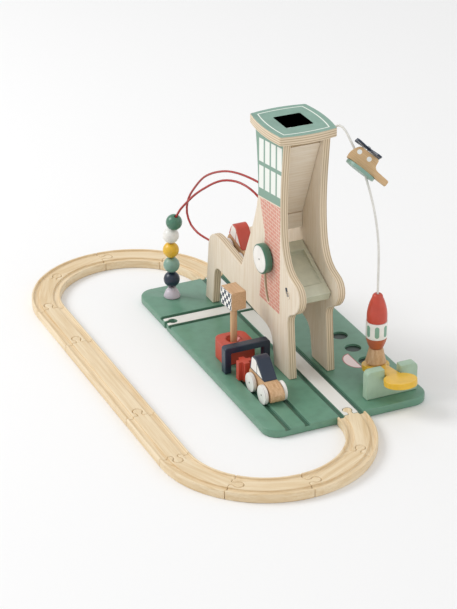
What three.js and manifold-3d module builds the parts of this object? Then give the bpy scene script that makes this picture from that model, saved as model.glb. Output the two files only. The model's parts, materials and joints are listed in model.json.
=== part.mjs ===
// Wooden train set: a painted base board with play stations and a plywood tower, closed into a
// loop by eleven pieces of grooved wooden track.
// Millimetres, +Z up. The origin is on the floor, under the middle of the board's main rail.
// +X runs along the board towards the front of the tower, and +Y is the rocket's side.
import * as THREE from 'three';
import { mergeVertices } from 'three/addons/utils/BufferGeometryUtils.js';
import Module from 'manifold-3d';

const wasm = await Module();
wasm.setup();

// ---- driving dimensions -------------------------------------------------------------------
const GAP = 0.3; // clearance left between pieces that touch
const RUN = 0.5; // clearance of a piece that slides or turns in another
const FIT = 0.3; // clearance of a pin or wire fixed in its hole

// rail system, shared by the board and the loose track
const RAIL_WIDTH = 40;
const RAIL_HEIGHT = 12;
const GAUGE = 27; // between the centres of the two wheel grooves
const GROOVE_WIDTH = 7;
const GROOVE_DEPTH = 3;
const SHORT_STRAIGHT = 108;
const CURVE_RADIUS = 121;
const CURVES_PER_END = 4;
const PEG_NECK = 6;
const PEG_RADIUS = 6;
const PEG_REACH = 11; // from the rail's end to the centre of the peg's head

// base board
const BOARD_LENGTH = 4 * SHORT_STRAIGHT;
const BOARD_WIDTH = 230;
const BOARD_CORNER = 22;
const BOARD_ROUND = 2.5;
const TOP = RAIL_HEIGHT; // the board is as thick as the track
const CROSS_RAIL_X = -112;
const ROAD_Y = -74.5; // middle of the two car grooves
const ROAD_START = 66;
const SPOT_RADIUS = 11;
const SPOT_DEPTH = 3;
const SPOT_Y = 83;
const SPOT_FIRST_X = 22;
const SPOT_STEP = 39;
const SPOT_COUNT = 3;

// tower
const TUNNEL_WIDTH = 44; // clear width between the side panels
const PANEL = 11; // side panel thickness
const TOWER_HEIGHT = 333; // underside of the helipad plate
const ARCH_HEIGHT = 73; // underside of the bridge between the legs, at its rear end
const ARCH_FALL = 11; // the underside is this much lower at its front end
const HELIPAD_THICKNESS = 12;
const HELIPAD_LENGTH = 91;
const HELIPAD_WIDTH = 80;
const HELIPAD_BULGE = 4;
const HELIPAD_X = 42;
const PLY = 8; // boards between the side panels

// tipping tray and its knob
const TRAY_PIVOT_X = 99.6;
const TRAY_PIVOT_Z = 131.5;
const TRAY_REST = 25; // slope at rest, front end down, degrees
const TRAY_SWING = 52; // degrees the tray's rear end drops
const TRAY_THICKNESS = 13;
const TRAY_BACK = 80; // pivot to the tray's rear end
const TRAY_FRONT = 13; // pivot to the tray's front end
const TRAY_PIVOT_DROP = 6.3; // pivot axis below the tray's top face
const TRAY_RIM = 5;
const KNOB_REACH = 68.2; // pivot to the knob's pin
const KNOB_REST = 23.3; // degrees the pin stands above the pivot's level at rest
const KNOB_PIN_RADIUS = 3;
const KNOB_RADIUS = 20;
const KNOB_THICKNESS = 10;
const DOWEL_RADIUS = 4;

// rear ramp
const RAMP_SLOPE = 11; // degrees, falling towards +X
const RAMP_BACK_X = -140.5;
const RAMP_FRONT_X = -15;
const RAMP_MID_X = -109; // under the middle of the car
const RAMP_MID_Z = 83;

// wires
const WIRE_RADIUS = 1.6;
const WIRE_SUNK = 8; // how far a wire's foot goes into the board
const BEAD_WIRE_STEPS = 40;
const LOOP_WIRE_STEPS = 48;
const FLIGHT_WIRE_STEPS = 56;
const BEND_RADIUS = 232; // the white wire's long bend
const BEND_DROP = 153; // from the underside of the helipad down to the start of the bend
const BEND_START_Z = TOWER_HEIGHT - BEND_DROP;
const BEND_HEADING = 17.7; // degrees from +X to the plane of the bend
const BEND_END = 44; // degrees round the bend where the wire hooks over to the helipad

// beads
const BEAD_RADIUS = 11.3;
const BEAD_BORE = WIRE_RADIUS + 1.1;
const BEAD_GAP = 0.4;
const BEAD_POST = [-180, -76];
const BEAD_BASE_HEIGHT = 15.5;

// rocket launcher; the rocket's axis is also the foot of the white wire
const LAUNCH_Y = 69;
const ROCKET_X = 150;
const STAND_RADIUS = 13.5;
const BRACKET_X = 190;
const BRACKET_THICKNESS = 12;
const BRACKET_WIDTH = 73;
const BRACKET_HEIGHT = 40;
const NOTCH_WIDTH = 23;
const LEVER_AXLE_Z = 38.3;
const LEVER_THICKNESS = 8;
const LEVER_REST = 9; // slope at rest, rocket end down, degrees
const LEVER_NECK = 19;
const PADDLE_RADIUS = 21.5;
const PADDLE_REACH = 27;
const SEAT_RADIUS = 18;
const LEVER_SLOT = WIRE_RADIUS + 2; // half width of the lever's hole for the wire
const LEVER_PIN_RADIUS = 1.6;
const LEVER_PIN_SUNK = 8;
const STAND_HEIGHT = 21;
const ROCKET_RADIUS = 14;
const TAPER_HEIGHT = 15.5;
const BAND_HEIGHT = 22.5;
const NOSE_HEIGHT = 38.5;
const ROCKET_BORE = WIRE_RADIUS + 1;

// mallet and its block
const BLOCK_X = 18;
const BLOCK_Y = -72;
const BLOCK_LENGTH = 39;
const BLOCK_WIDTH = 44;
const BLOCK_HEIGHT = 28;
const BLOCK_MOUTH = 10.5;
const HANDLE_RADIUS = 4.6;
const HANDLE_LENGTH = 79;
const HANDLE_SUNK = 11; // in the mallet's head
const BLOCK_BORE_DEPTH = 20;
const HEAD_LENGTH = 30;
const HEAD_WIDTH = 22;
const HEAD_HEIGHT = 26;
const MALLET_TURN = 3; // degrees

// small arch and its roller
const ARCH_X = 52;
const ARCH_Y = -70;
const ARCH_SPAN = 65;
const ARCH_TALL = 38;
const ARCH_BAR = 9;
const ARCH_THICKNESS = 12;
const ROLLER_X = 77;
const ROLLER_Y = -84;
const ROLLER_REACH = 10;
const ROLLER_ARM = 8;
const ROLLER_HEIGHT = 27;
const ROLLER_PIN_RADIUS = 3;
const ROLLER_PIN_HEIGHT = 22;
const ROLLER_PIN_SUNK = 8;

// cars
const WHEEL_RADIUS = 13;
const WHEEL_WIDTH = 5;
const AXLE_RADIUS = 2;
const WHEELBASE = 36;
const CAR_WIDTH = 19;
const CAR_FRONT = 36;
const CAR_BACK = -34;
const CAR_UNDER = 6;
const HOOD_HEIGHT = 27;
const ROOF_HEIGHT = 50;
const FRONT_CAR_X = 124;

// helicopter, in its own frame: rotor axis at the origin, nose towards +X, belly at z = 0
const HELI_CLIMB = 33; // degrees round the bend
const HELI_TURN = 53; // degrees the helicopter hangs turned about the wire
const HELI_WIRE_ANGLE = 30.7; // between the wire and the helicopter's length
const HELI_WIRE_X = -11; // where the wire meets the belly
const HELI_WIDTH = 16;
const HELI_HEIGHT = 21.5;
const HELI_NOSE = 16;
const HELI_CABIN_BACK = -20;
const HELI_TAIL = -45;
const DISC_RADIUS = 21;
const DISC_THICKNESS = 4.5;
const DISC_X = -8;
const ROTOR_REACH = 26;
const ROTOR_WIDTH = 8;
const ROTOR_THICKNESS = 3;
const ROTOR_LIFT = 1.5; // above the cabin roof
const ROTOR_PIN_RADIUS = 1.5;
const ROTOR_PIN_LOW = 11;
const HELI_BORE = WIRE_RADIUS + 1;

// ---- materials ----------------------------------------------------------------------------
const paint = (color, roughness = 0.5) => new THREE.MeshStandardMaterial({ color, roughness, metalness: 0 });
const wood = (color) => new THREE.MeshStandardMaterial({ color, roughness: 0.62, metalness: 0 });
const look = {
  board: paint(0x5f8f78),
  plywood: wood(0xe6d6bd),
  beech: wood(0xd9b68a),
  track: wood(0xe9cfa2),
  sage: paint(0xb9c8b2),
  mint: paint(0xa9c6ae),
  green: paint(0x4f7f69),
  white: paint(0xf0efec),
  navy: paint(0x26374c),
  red: paint(0xc8503c),
  orange: paint(0xc0623e),
  yellow: paint(0xe6bd4e),
  lavender: paint(0xb9b3bd),
  steel: new THREE.MeshStandardMaterial({ color: 0xc9cbcc, roughness: 0.3, metalness: 1 }),
};

// ---- helpers ------------------------------------------------------------------------------
const rad = THREE.MathUtils.degToRad;
const set = new THREE.Group();

function solid(geometry) {
  const bare = geometry.index ? geometry.toNonIndexed() : geometry.clone();
  bare.deleteAttribute('normal');
  bare.deleteAttribute('uv');
  const merged = mergeVertices(bare, 1e-4);
  return new wasm.Manifold(new wasm.Mesh({
    numProp: 3,
    vertProperties: new Float32Array(merged.attributes.position.array),
    triVerts: new Uint32Array(merged.index.array),
  }));
}

function geometryOf(body) {
  const mesh = body.getMesh();
  const geometry = new THREE.BufferGeometry();
  geometry.setAttribute('position', new THREE.BufferAttribute(mesh.vertProperties, 3));
  geometry.setIndex(new THREE.BufferAttribute(mesh.triVerts, 1));
  geometry.computeVertexNormals();
  return geometry;
}

function cut(body, tools) {
  return tools.reduce((rest, tool) => rest.subtract(solid(tool)), body);
}

function add(name, shape, material, parent = set) {
  const geometry = shape.isBufferGeometry ? geometryOf(solid(shape)) : geometryOf(shape);
  const mesh = new THREE.Mesh(geometry, material);
  mesh.name = name;
  parent.add(mesh);
  return mesh;
}

// the same shape seen in a mirror across x = 0, with its faces still pointing out
function mirrored(geometry) {
  const flipped = geometry.clone().scale(-1, 1, 1);
  const order = flipped.index.array;
  for (let i = 0; i < order.length; i += 3) {
    [order[i], order[i + 1]] = [order[i + 1], order[i]];
  }
  return flipped;
}

function place(geometry, x = 0, y = 0, z = 0) {
  return geometry.translate(x, y, z);
}

// extrudes an outline drawn in X and Y upwards from z
function slab(shape, z, height, options = {}) {
  const settings = { depth: height, bevelEnabled: false, curveSegments: 8, ...options };
  return place(new THREE.ExtrudeGeometry(shape, settings), 0, 0, z);
}

// extrudes an outline drawn in X and Z between two values of y
function plate(shape, y0, y1, curveSegments = 8) {
  const settings = { depth: y1 - y0, bevelEnabled: false, curveSegments };
  return place(new THREE.ExtrudeGeometry(shape, settings).rotateX(Math.PI / 2), 0, y1, 0);
}

function box(x0, x1, y0, y1, z0, z1) {
  const geometry = new THREE.BoxGeometry(x1 - x0, y1 - y0, z1 - z0);
  return place(geometry, (x0 + x1) / 2, (y0 + y1) / 2, (z0 + z1) / 2);
}

function polygon(points) {
  return new THREE.Shape(points.map(([x, y]) => new THREE.Vector2(x, y)));
}

function roundedRectangle(length, width, radius) {
  const [x, y] = [length / 2, width / 2];
  const shape = new THREE.Shape();
  shape.moveTo(-x + radius, -y);
  shape.lineTo(x - radius, -y);
  shape.absarc(x - radius, -y + radius, radius, -Math.PI / 2, 0);
  shape.lineTo(x, y - radius);
  shape.absarc(x - radius, y - radius, radius, 0, Math.PI / 2);
  shape.lineTo(-x + radius, y);
  shape.absarc(-x + radius, y - radius, radius, Math.PI / 2, Math.PI);
  shape.lineTo(-x, -y + radius);
  shape.absarc(-x + radius, -y + radius, radius, Math.PI, 1.5 * Math.PI);
  return shape;
}

// a turned piece: profile points are [radius, height], on the axis at both ends or a closed ring
function turned(profile, sides = 20) {
  return new THREE.LatheGeometry(profile.map(([r, z]) => new THREE.Vector2(r, z)), sides).rotateX(Math.PI / 2);
}

// a turned piece with a bore along its axis
function turnedRing(outline, bore, sides = 20) {
  const low = outline[0][1];
  const high = outline[outline.length - 1][1];
  const ring = [[bore, low], ...outline, [bore, high], [bore, low]];
  return turned(ring, sides);
}

function rod(radius, x, y0, y1, z, sides = 16) {
  return place(new THREE.CylinderGeometry(radius, radius, y1 - y0, sides), x, (y0 + y1) / 2, z);
}

// a wire of the given radius along a path; grown a little it cuts its own hole
function wire(path, radius, steps) {
  const section = new THREE.Shape();
  section.absarc(0, 0, radius, 0, 2 * Math.PI);
  return new THREE.ExtrudeGeometry(section, { steps, bevelEnabled: false, extrudePath: path, curveSegments: 4 });
}

function route(points) {
  return new THREE.CatmullRomCurve3(points.map((p) => new THREE.Vector3(...p)), false, 'centripetal');
}

// the bead wire lies in one upright plane; its points are distances from the post and heights
const BEAD_HEADING = 17.4; // degrees from +X to that plane
const BEAD_PATH = route([
  [0, TOP - WIRE_SUNK], [0, 60], [0, 108], [8, 131], [19, 150], [35, 168], [52, 185], [72, 201], [92, 215],
  [112, 225], [140, 231], [165, 228], [186, 218], [203, 207.5], [212, 202],
].map(([s, z]) => {
  const angle = rad(BEAD_HEADING);
  return [BEAD_POST[0] + s * Math.cos(angle), BEAD_POST[1] + s * Math.sin(angle), z];
}));

// the loop wire runs back from the block, down and round, and forward into the rear board
const LOOP_PATH = route([
  [25, 200], [14, 207.5], [0, 213.5], [-30, 219.5], [-59, 220.5], [-111.5, 213.9], [-150, 202], [-195, 177.6],
  [-222, 151.5], [-239, 129.8], [-245, 115], [-245.3, 102.7], [-237, 90.3], [-224, 84.9], [-210, 83.3],
  [-186, 84.7], [-160, 86.5], [-145, 86.5],
].map(([x, z]) => [x, -12 + ((x + 150) * 22) / 180, z]));

// the white wire stands on the board, bends over towards the tower and hooks into the helipad
const WHITE_PATH = route([
  ...[TOP - WIRE_SUNK, 40, 80, 120, 150].map((z) => [ROCKET_X, LAUNCH_Y, z]),
  ...Array.from({ length: 9 }, (_, i) => bendPoint((i * BEND_END) / 8).toArray()),
  ...[[80.5, 47.2, 11], [76, 44.8, 10.4], [74, 41, 7.5], [74, 35, 6]].map(([x, y, z]) => [x, y, TOWER_HEIGHT + z]),
]);

function bendPoint(degrees) {
  const [angle, heading] = [rad(degrees), rad(BEND_HEADING)];
  const back = BEND_RADIUS * (Math.cos(angle) - 1);
  return new THREE.Vector3(
    ROCKET_X + back * Math.cos(heading),
    LAUNCH_Y + back * Math.sin(heading),
    BEND_START_Z + BEND_RADIUS * Math.sin(angle),
  );
}

// ---- rail shapes --------------------------------------------------------------------------
// the peg of a rail end at the origin that points along -X; grown by a clearance it cuts the socket
function pegShape(clearance) {
  const neck = PEG_NECK / 2 + clearance;
  const head = PEG_RADIUS + clearance;
  const meet = Math.asin(neck / head);
  const shape = new THREE.Shape();
  shape.moveTo(1, -neck);
  shape.lineTo(1, neck);
  shape.lineTo(-PEG_REACH + head * Math.cos(meet), neck);
  shape.absarc(-PEG_REACH, 0, head, meet, 2 * Math.PI - meet);
  return shape;
}

function socketTool(x, y, degrees) {
  return slab(pegShape(RUN), -1, RAIL_HEIGHT + 2).rotateZ(rad(degrees)).translate(x, y, 0);
}

function grooveTools(x0, x1, y) {
  return [-1, 1].map((side) => {
    const middle = y + (side * GAUGE) / 2;
    const half = GROOVE_WIDTH / 2;
    return box(x0, x1, middle - half, middle + half, TOP - GROOVE_DEPTH, TOP + 5);
  });
}

// ---- base board ---------------------------------------------------------------------------
function baseBoard() {
  const inset = BOARD_ROUND;
  const outline = roundedRectangle(BOARD_LENGTH - 2 * inset, BOARD_WIDTH - 2 * inset, BOARD_CORNER - inset);
  const board = slab(outline, inset, TOP - 2 * inset, {
    bevelEnabled: true,
    bevelSize: inset,
    bevelThickness: inset,
    bevelSegments: 2,
    curveSegments: 5,
  });
  const [endX, endY] = [BOARD_LENGTH / 2, BOARD_WIDTH / 2];
  const cross = grooveTools(-endY - 5, endY + 5, 0).map((tool) => {
    return tool.rotateZ(Math.PI / 2).translate(CROSS_RAIL_X, 0, 0);
  });
  const spots = Array.from({ length: SPOT_COUNT }, (_, i) => {
    const tool = new THREE.CylinderGeometry(SPOT_RADIUS, SPOT_RADIUS, 20, 22).rotateX(Math.PI / 2);
    return place(tool, SPOT_FIRST_X + i * SPOT_STEP, SPOT_Y, TOP - SPOT_DEPTH + 10);
  });
  const sockets = [
    socketTool(endX, 0, 0),
    socketTool(-endX, 0, 180),
    socketTool(CROSS_RAIL_X, -endY, -90),
    socketTool(CROSS_RAIL_X, endY, 90),
  ];
  const sunk = [
    verticalHole(...BEAD_POST, WIRE_RADIUS + FIT, TOP - WIRE_SUNK),
    verticalHole(ROCKET_X, LAUNCH_Y, WIRE_RADIUS + FIT, TOP - WIRE_SUNK),
    verticalHole(ROLLER_X, ROLLER_Y, ROLLER_PIN_RADIUS + FIT, TOP - ROLLER_PIN_SUNK),
  ];
  const rails = grooveTools(-endX - 5, endX + 5, 0);
  const road = grooveTools(ROAD_START, endX + 5, ROAD_Y);
  add('base_board', cut(solid(board), [...rails, ...cross, ...road, ...spots, ...sockets, ...sunk]), look.board);
}

// a blind hole from above, down to the height z
function verticalHole(x, y, radius, z) {
  return place(new THREE.CylinderGeometry(radius, radius, 40, 12).rotateX(Math.PI / 2), x, y, z + 20);
}

// ---- loose track --------------------------------------------------------------------------
// a straight piece from x = 0 to x = length; each end has a peg or a socket
function straightBody(length, startPeg, endPeg) {
  const half = RAIL_WIDTH / 2;
  const bar = solid(box(GAP / 2, length - GAP / 2, -half, half, 0, RAIL_HEIGHT));
  const start = slab(pegShape(0), 0, RAIL_HEIGHT);
  const end = slab(pegShape(0), 0, RAIL_HEIGHT).rotateZ(Math.PI).translate(length, 0, 0);
  let body = startPeg ? bar.add(solid(start)) : cut(bar, [socketTool(0, 0, 180)]);
  body = endPeg ? body.add(solid(end)) : cut(body, [socketTool(length, 0, 0)]);
  return cut(body, grooveTools(-PEG_REACH * 2, length + PEG_REACH * 2, 0));
}

// a sector between two radii about the origin, from angle a0 down to a1
function sector(inner, outer, a0, a1) {
  const shape = new THREE.Shape();
  shape.absarc(0, 0, outer, a0, a1, true);
  shape.absarc(0, 0, inner, a1, a0, false);
  return shape;
}

// a curve that starts at the origin heading along +X with its peg, and turns towards -Y
function curveBody() {
  const half = RAIL_WIDTH / 2;
  const turn = Math.PI / CURVES_PER_END;
  const trim = GAP / 2 / CURVE_RADIUS;
  const [a0, a1] = [Math.PI / 2 - trim, Math.PI / 2 - turn + trim];
  const shift = (geometry) => geometry.translate(0, -CURVE_RADIUS, 0);
  const ring = sector(CURVE_RADIUS - half, CURVE_RADIUS + half, a0, a1);
  let body = solid(shift(slab(ring, 0, RAIL_HEIGHT, { curveSegments: 4 })));
  body = body.add(solid(slab(pegShape(0), 0, RAIL_HEIGHT)));
  const socket = socketTool(0, CURVE_RADIUS, 0).rotateZ(-turn).translate(0, -CURVE_RADIUS, 0);
  const grooves = [-1, 1].map((side) => {
    const middle = CURVE_RADIUS + (side * GAUGE) / 2;
    const [inner, outer] = [middle - GROOVE_WIDTH / 2, middle + GROOVE_WIDTH / 2];
    const track = sector(inner, outer, Math.PI / 2 + 0.2, Math.PI / 2 - turn - 0.2);
    return shift(slab(track, RAIL_HEIGHT - GROOVE_DEPTH, 10, { curveSegments: 6 }));
  });
  return cut(body, [socket, ...grooves]);
}

function loopTrack() {
  const turn = Math.PI / CURVES_PER_END;
  for (let i = 0; i < CURVES_PER_END; i += 1) {
    const curve = geometryOf(curveBody())
      .translate(0, CURVE_RADIUS, 0)
      .rotateZ(-i * turn)
      .translate(BOARD_LENGTH / 2, -CURVE_RADIUS, 0);
    add(`front_curve_${i + 1}`, curve, look.track);
    add(`rear_curve_${i + 1}`, mirrored(curve), look.track);
  }
  const returnY = -2 * CURVE_RADIUS;
  const straights = [
    ['front_straight', SHORT_STRAIGHT, 1, true, true],
    ['long_straight', -SHORT_STRAIGHT, 2, true, false],
    ['rear_straight', -2 * SHORT_STRAIGHT, 1, true, false],
  ];
  for (const [name, startX, lengths, startPeg, endPeg] of straights) {
    const body = straightBody(lengths * SHORT_STRAIGHT, startPeg, endPeg);
    add(name, geometryOf(body).translate(startX, returnY, 0), look.track);
  }
}

// ---- tower --------------------------------------------------------------------------------
const HALF_TUNNEL = TUNNEL_WIDTH / 2;
const PANEL_FACE = HALF_TUNNEL + PANEL; // outer face of a side panel
const BETWEEN = HALF_TUNNEL - GAP; // half width of a board glued between the panels

// a side panel seen from -Y: two legs, a bridge, a notch behind and a waisted column in front
function panelOutline() {
  const foot = TOP + GAP;
  const shape = new THREE.Shape();
  shape.moveTo(-161, foot);
  shape.lineTo(-137, foot);
  shape.lineTo(-131, ARCH_HEIGHT - 14);
  shape.quadraticCurveTo(-128, ARCH_HEIGHT, -114, ARCH_HEIGHT);
  const archFront = ARCH_HEIGHT - ARCH_FALL;
  shape.lineTo(28, archFront);
  shape.quadraticCurveTo(50, archFront - 1, 54, archFront - 18);
  shape.lineTo(60, foot);
  shape.lineTo(106, foot);
  shape.lineTo(98, 88);
  shape.quadraticCurveTo(97, 102, 108, 107);
  shape.bezierCurveTo(139, 121, 138, 152, 112, 156);
  shape.bezierCurveTo(84, 162, 76, 190, 75, 240);
  shape.bezierCurveTo(75, TOWER_HEIGHT - 53, 80, TOWER_HEIGHT - 23, 82, TOWER_HEIGHT - GAP);
  shape.lineTo(-1, TOWER_HEIGHT - GAP);
  shape.bezierCurveTo(5, TOWER_HEIGHT - 33, 8, 270, 9, 243);
  shape.bezierCurveTo(9, 215, -18, 166, -43, 112);
  shape.lineTo(-110, 120.5);
  shape.quadraticCurveTo(-148, 125, -151, 96);
  shape.lineTo(-161, foot);
  return shape;
}

// the curved slot that the knob's pin travels in
function slotTool() {
  const reach = KNOB_PIN_RADIUS + RUN;
  const top = Math.PI - rad(KNOB_REST);
  const bottom = top + rad(TRAY_SWING);
  const shape = new THREE.Shape();
  shape.absarc(0, 0, KNOB_REACH + reach, top, bottom);
  shape.absarc(KNOB_REACH * Math.cos(bottom), KNOB_REACH * Math.sin(bottom), reach, bottom, bottom + Math.PI);
  shape.absarc(0, 0, KNOB_REACH - reach, bottom, top, true);
  shape.absarc(KNOB_REACH * Math.cos(top), KNOB_REACH * Math.sin(top), reach, top + Math.PI, top + 2 * Math.PI);
  return place(plate(shape, -PANEL_FACE - 5, -HALF_TUNNEL + 5), TRAY_PIVOT_X, 0, TRAY_PIVOT_Z);
}

function sidePanels() {
  const dowelHole = rod(DOWEL_RADIUS + FIT, TRAY_PIVOT_X, -PANEL_FACE - 5, PANEL_FACE + 5, TRAY_PIVOT_Z);
  const left = solid(plate(panelOutline(), -PANEL_FACE, -HALF_TUNNEL));
  const right = solid(plate(panelOutline(), HALF_TUNNEL, PANEL_FACE));
  add('side_panel_left', cut(left, [dowelHole, slotTool()]), look.plywood);
  add('side_panel_right', cut(right, [dowelHole]), look.plywood);
}

// the H cut through the helipad: two uprights and a crossbar
function padLetter() {
  const bar = (x0, x1, y0, y1) => box(HELIPAD_X + x0, HELIPAD_X + x1, y0, y1, TOWER_HEIGHT - 5, TOWER_HEIGHT + 30);
  return [bar(-19, 19, -18, -6), bar(-19, 19, 6, 18), bar(-7, 7, -7, 7)];
}

function helipad() {
  const [x, y] = [HELIPAD_LENGTH / 2, HELIPAD_WIDTH / 2];
  const corner = 5;
  const shape = new THREE.Shape();
  shape.moveTo(-x + corner, -y);
  shape.quadraticCurveTo(0, -y - 2 * HELIPAD_BULGE, x - corner, -y);
  shape.quadraticCurveTo(x, -y, x, -y + corner);
  shape.quadraticCurveTo(x + 2 * HELIPAD_BULGE, 0, x, y - corner);
  shape.quadraticCurveTo(x, y, x - corner, y);
  shape.quadraticCurveTo(0, y + 2 * HELIPAD_BULGE, -x + corner, y);
  shape.quadraticCurveTo(-x, y, -x, y - corner);
  shape.quadraticCurveTo(-x - 2 * HELIPAD_BULGE, 0, -x, -y + corner);
  shape.quadraticCurveTo(-x, -y, -x + corner, -y);
  const top = slab(shape, TOWER_HEIGHT, HELIPAD_THICKNESS, { curveSegments: 6 }).translate(HELIPAD_X, 0, 0);
  add('helipad_plate', cut(solid(top), [...padLetter(), wire(WHITE_PATH, WIRE_RADIUS + FIT, FLIGHT_WIRE_STEPS)]), look.sage);
}

// boards glued between the panels: the sloping shaft board, the block that holds the red wires,
// the board between the rear legs and the ramp
function innerBoards() {
  const wires = [
    wire(BEAD_PATH, WIRE_RADIUS + FIT, BEAD_WIRE_STEPS),
    wire(LOOP_PATH, WIRE_RADIUS + FIT, LOOP_WIRE_STEPS),
  ];
  const [low, high] = [[28, 210.5], [75.5, TOWER_HEIGHT - 9]]; // the shaft board's upper face
  const run = Math.hypot(high[0] - low[0], high[1] - low[1]);
  const across = [(-PLY * (high[1] - low[1])) / run, (PLY * (high[0] - low[0])) / run];
  const back = ([x, z]) => [x + across[0], z + across[1]];
  const slope = polygon([low, high, back(high), back(low)]);
  add('shaft_board', plate(slope, -BETWEEN, BETWEEN), look.plywood);
  const block = box(18, 28, -BETWEEN, BETWEEN, 188, 209);
  add('wire_block', cut(solid(block), wires), look.plywood);
  const rear = box(RAMP_BACK_X - 1 - PLY, RAMP_BACK_X - 1, -BETWEEN, BETWEEN, ARCH_HEIGHT - 8, 97);
  add('rear_board', cut(solid(rear), wires), look.plywood);
  const ramp = polygon([
    [RAMP_BACK_X, rampHeight(RAMP_BACK_X)],
    [RAMP_BACK_X, rampHeight(RAMP_BACK_X) - PLY],
    [RAMP_FRONT_X, rampHeight(RAMP_FRONT_X) - PLY],
    [RAMP_FRONT_X, rampHeight(RAMP_FRONT_X)],
  ]);
  add('rear_ramp', plate(ramp, -BETWEEN, BETWEEN), look.plywood);
}

function rampHeight(x) {
  return RAMP_MID_Z - Math.tan(rad(RAMP_SLOPE)) * (x - RAMP_MID_X);
}

// the tipping tray is drawn level about its pivot, then tipped front end down
function tippingTray() {
  const half = HALF_TUNNEL - 2 * RUN;
  const top = TRAY_PIVOT_DROP;
  const body = solid(box(-TRAY_BACK, TRAY_FRONT, -half, half, top - TRAY_THICKNESS, top));
  const [pocketBack, pocketFront] = [-TRAY_BACK + 16, -5];
  const pocket = polygon([
    [pocketBack, top - 7],
    [pocketFront, top - 1],
    [pocketFront, top + 5],
    [pocketBack, top + 5],
  ]);
  const pin = trayPin();
  const pinHole = rod(KNOB_PIN_RADIUS + FIT, pin.x, -half - 5, -8, pin.z);
  const dowelHole = rod(DOWEL_RADIUS + GAP, 0, -half - 5, half + 5, 0);
  const tray = cut(body, [plate(pocket, -half + TRAY_RIM, half - TRAY_RIM), pinHole, dowelHole]);
  const tip = new THREE.Group();
  tip.position.set(TRAY_PIVOT_X, 0, TRAY_PIVOT_Z);
  tip.rotation.y = rad(TRAY_REST);
  set.add(tip);
  add('tipping_tray', tray, look.sage, tip);
  liftKnob(tip, pin);
  const dowel = rod(DOWEL_RADIUS, TRAY_PIVOT_X, -PANEL_FACE, PANEL_FACE, TRAY_PIVOT_Z);
  add('tray_dowel', dowel, look.beech);
}

// the knob's pin in the tray's level frame
function trayPin() {
  const angle = rad(KNOB_REST - TRAY_REST);
  return { x: -KNOB_REACH * Math.cos(angle), z: KNOB_REACH * Math.sin(angle) };
}

function liftKnob(tip, pin) {
  const back = -PANEL_FACE - 2 * RUN;
  const face = back - KNOB_THICKNESS;
  const bore = KNOB_PIN_RADIUS + FIT;
  const seat = KNOB_RADIUS - 2;
  const knob = [
    [0, back - 7], [bore, back - 7], [bore, back], [KNOB_RADIUS - 1.5, back], [KNOB_RADIUS, back - 1.5],
    [KNOB_RADIUS, face + 1], [KNOB_RADIUS - 1, face], [seat + GAP, face], [seat + GAP, face + 1], [0, face + 1],
  ];
  // the profiles run along -Y, so they are turned about Y here
  const about = (profile) => {
    const points = profile.map(([r, y]) => new THREE.Vector2(r, y));
    return place(new THREE.LatheGeometry(points.reverse(), 26), pin.x, 0, pin.z);
  };
  add('lift_knob', about(knob), look.green, tip);
  const disc = [[0, face + 1 - GAP], [seat, face + 1 - GAP], [seat, face - 0.4], [0, face - 0.4]];
  add('knob_face', about(disc), look.white, tip);
  add('lift_pin', rod(KNOB_PIN_RADIUS, pin.x, back - 6.7, -8.5, pin.z), look.beech, tip);
}

// ---- wires and beads ----------------------------------------------------------------------
function wires() {
  add('bead_wire', wire(BEAD_PATH, WIRE_RADIUS, BEAD_WIRE_STEPS), look.red);
  add('loop_wire', wire(LOOP_PATH, WIRE_RADIUS, LOOP_WIRE_STEPS), look.red);
  add('flight_wire', wire(WHITE_PATH, WIRE_RADIUS, FLIGHT_WIRE_STEPS), look.white);
}

function beads() {
  const [x, y] = BEAD_POST;
  const base = [[11.5, TOP + GAP], [11.5, TOP + 3.5], [10.5, TOP + 7], [7.5, TOP + 11], [6, TOP + BEAD_BASE_HEIGHT]];
  add('bead_base', turnedRing(base, WIRE_RADIUS + FIT).translate(x, y, 0), look.lavender);
  const names = ['navy', 'sage', 'yellow', 'white', 'green'];
  const colours = { navy: look.navy, sage: look.sage, yellow: look.yellow, white: look.white, green: look.green };
  const pitch = 2 * Math.sqrt(BEAD_RADIUS ** 2 - BEAD_BORE ** 2) + BEAD_GAP;
  const first = TOP + BEAD_BASE_HEIGHT + BEAD_GAP + pitch / 2;
  names.forEach((name, i) => {
    const height = first + i * pitch;
    const at = pointAtHeight(BEAD_PATH, height);
    const bead = add(`bead_${name}`, beadShape(), colours[name]);
    bead.position.copy(at.point);
    bead.quaternion.setFromUnitVectors(new THREE.Vector3(0, 0, 1), at.tangent);
  });
}

function beadShape() {
  const cap = Math.asin(BEAD_BORE / BEAD_RADIUS);
  const steps = 7;
  const outline = Array.from({ length: steps + 1 }, (_, i) => {
    const angle = Math.PI - cap - ((Math.PI - 2 * cap) * i) / steps;
    return [BEAD_RADIUS * Math.sin(angle), BEAD_RADIUS * Math.cos(angle)];
  });
  return turned([...outline, outline[0]], 16);
}

// the point where a rising path first reaches a height, and its direction there
function pointAtHeight(path, height) {
  const steps = 2000;
  for (let i = 0; i <= steps; i += 1) {
    const point = path.getPoint(i / steps);
    if (point.z >= height) {
      return { point, tangent: path.getTangent(i / steps) };
    }
  }
  throw new Error('the path never reaches that height');
}

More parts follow.
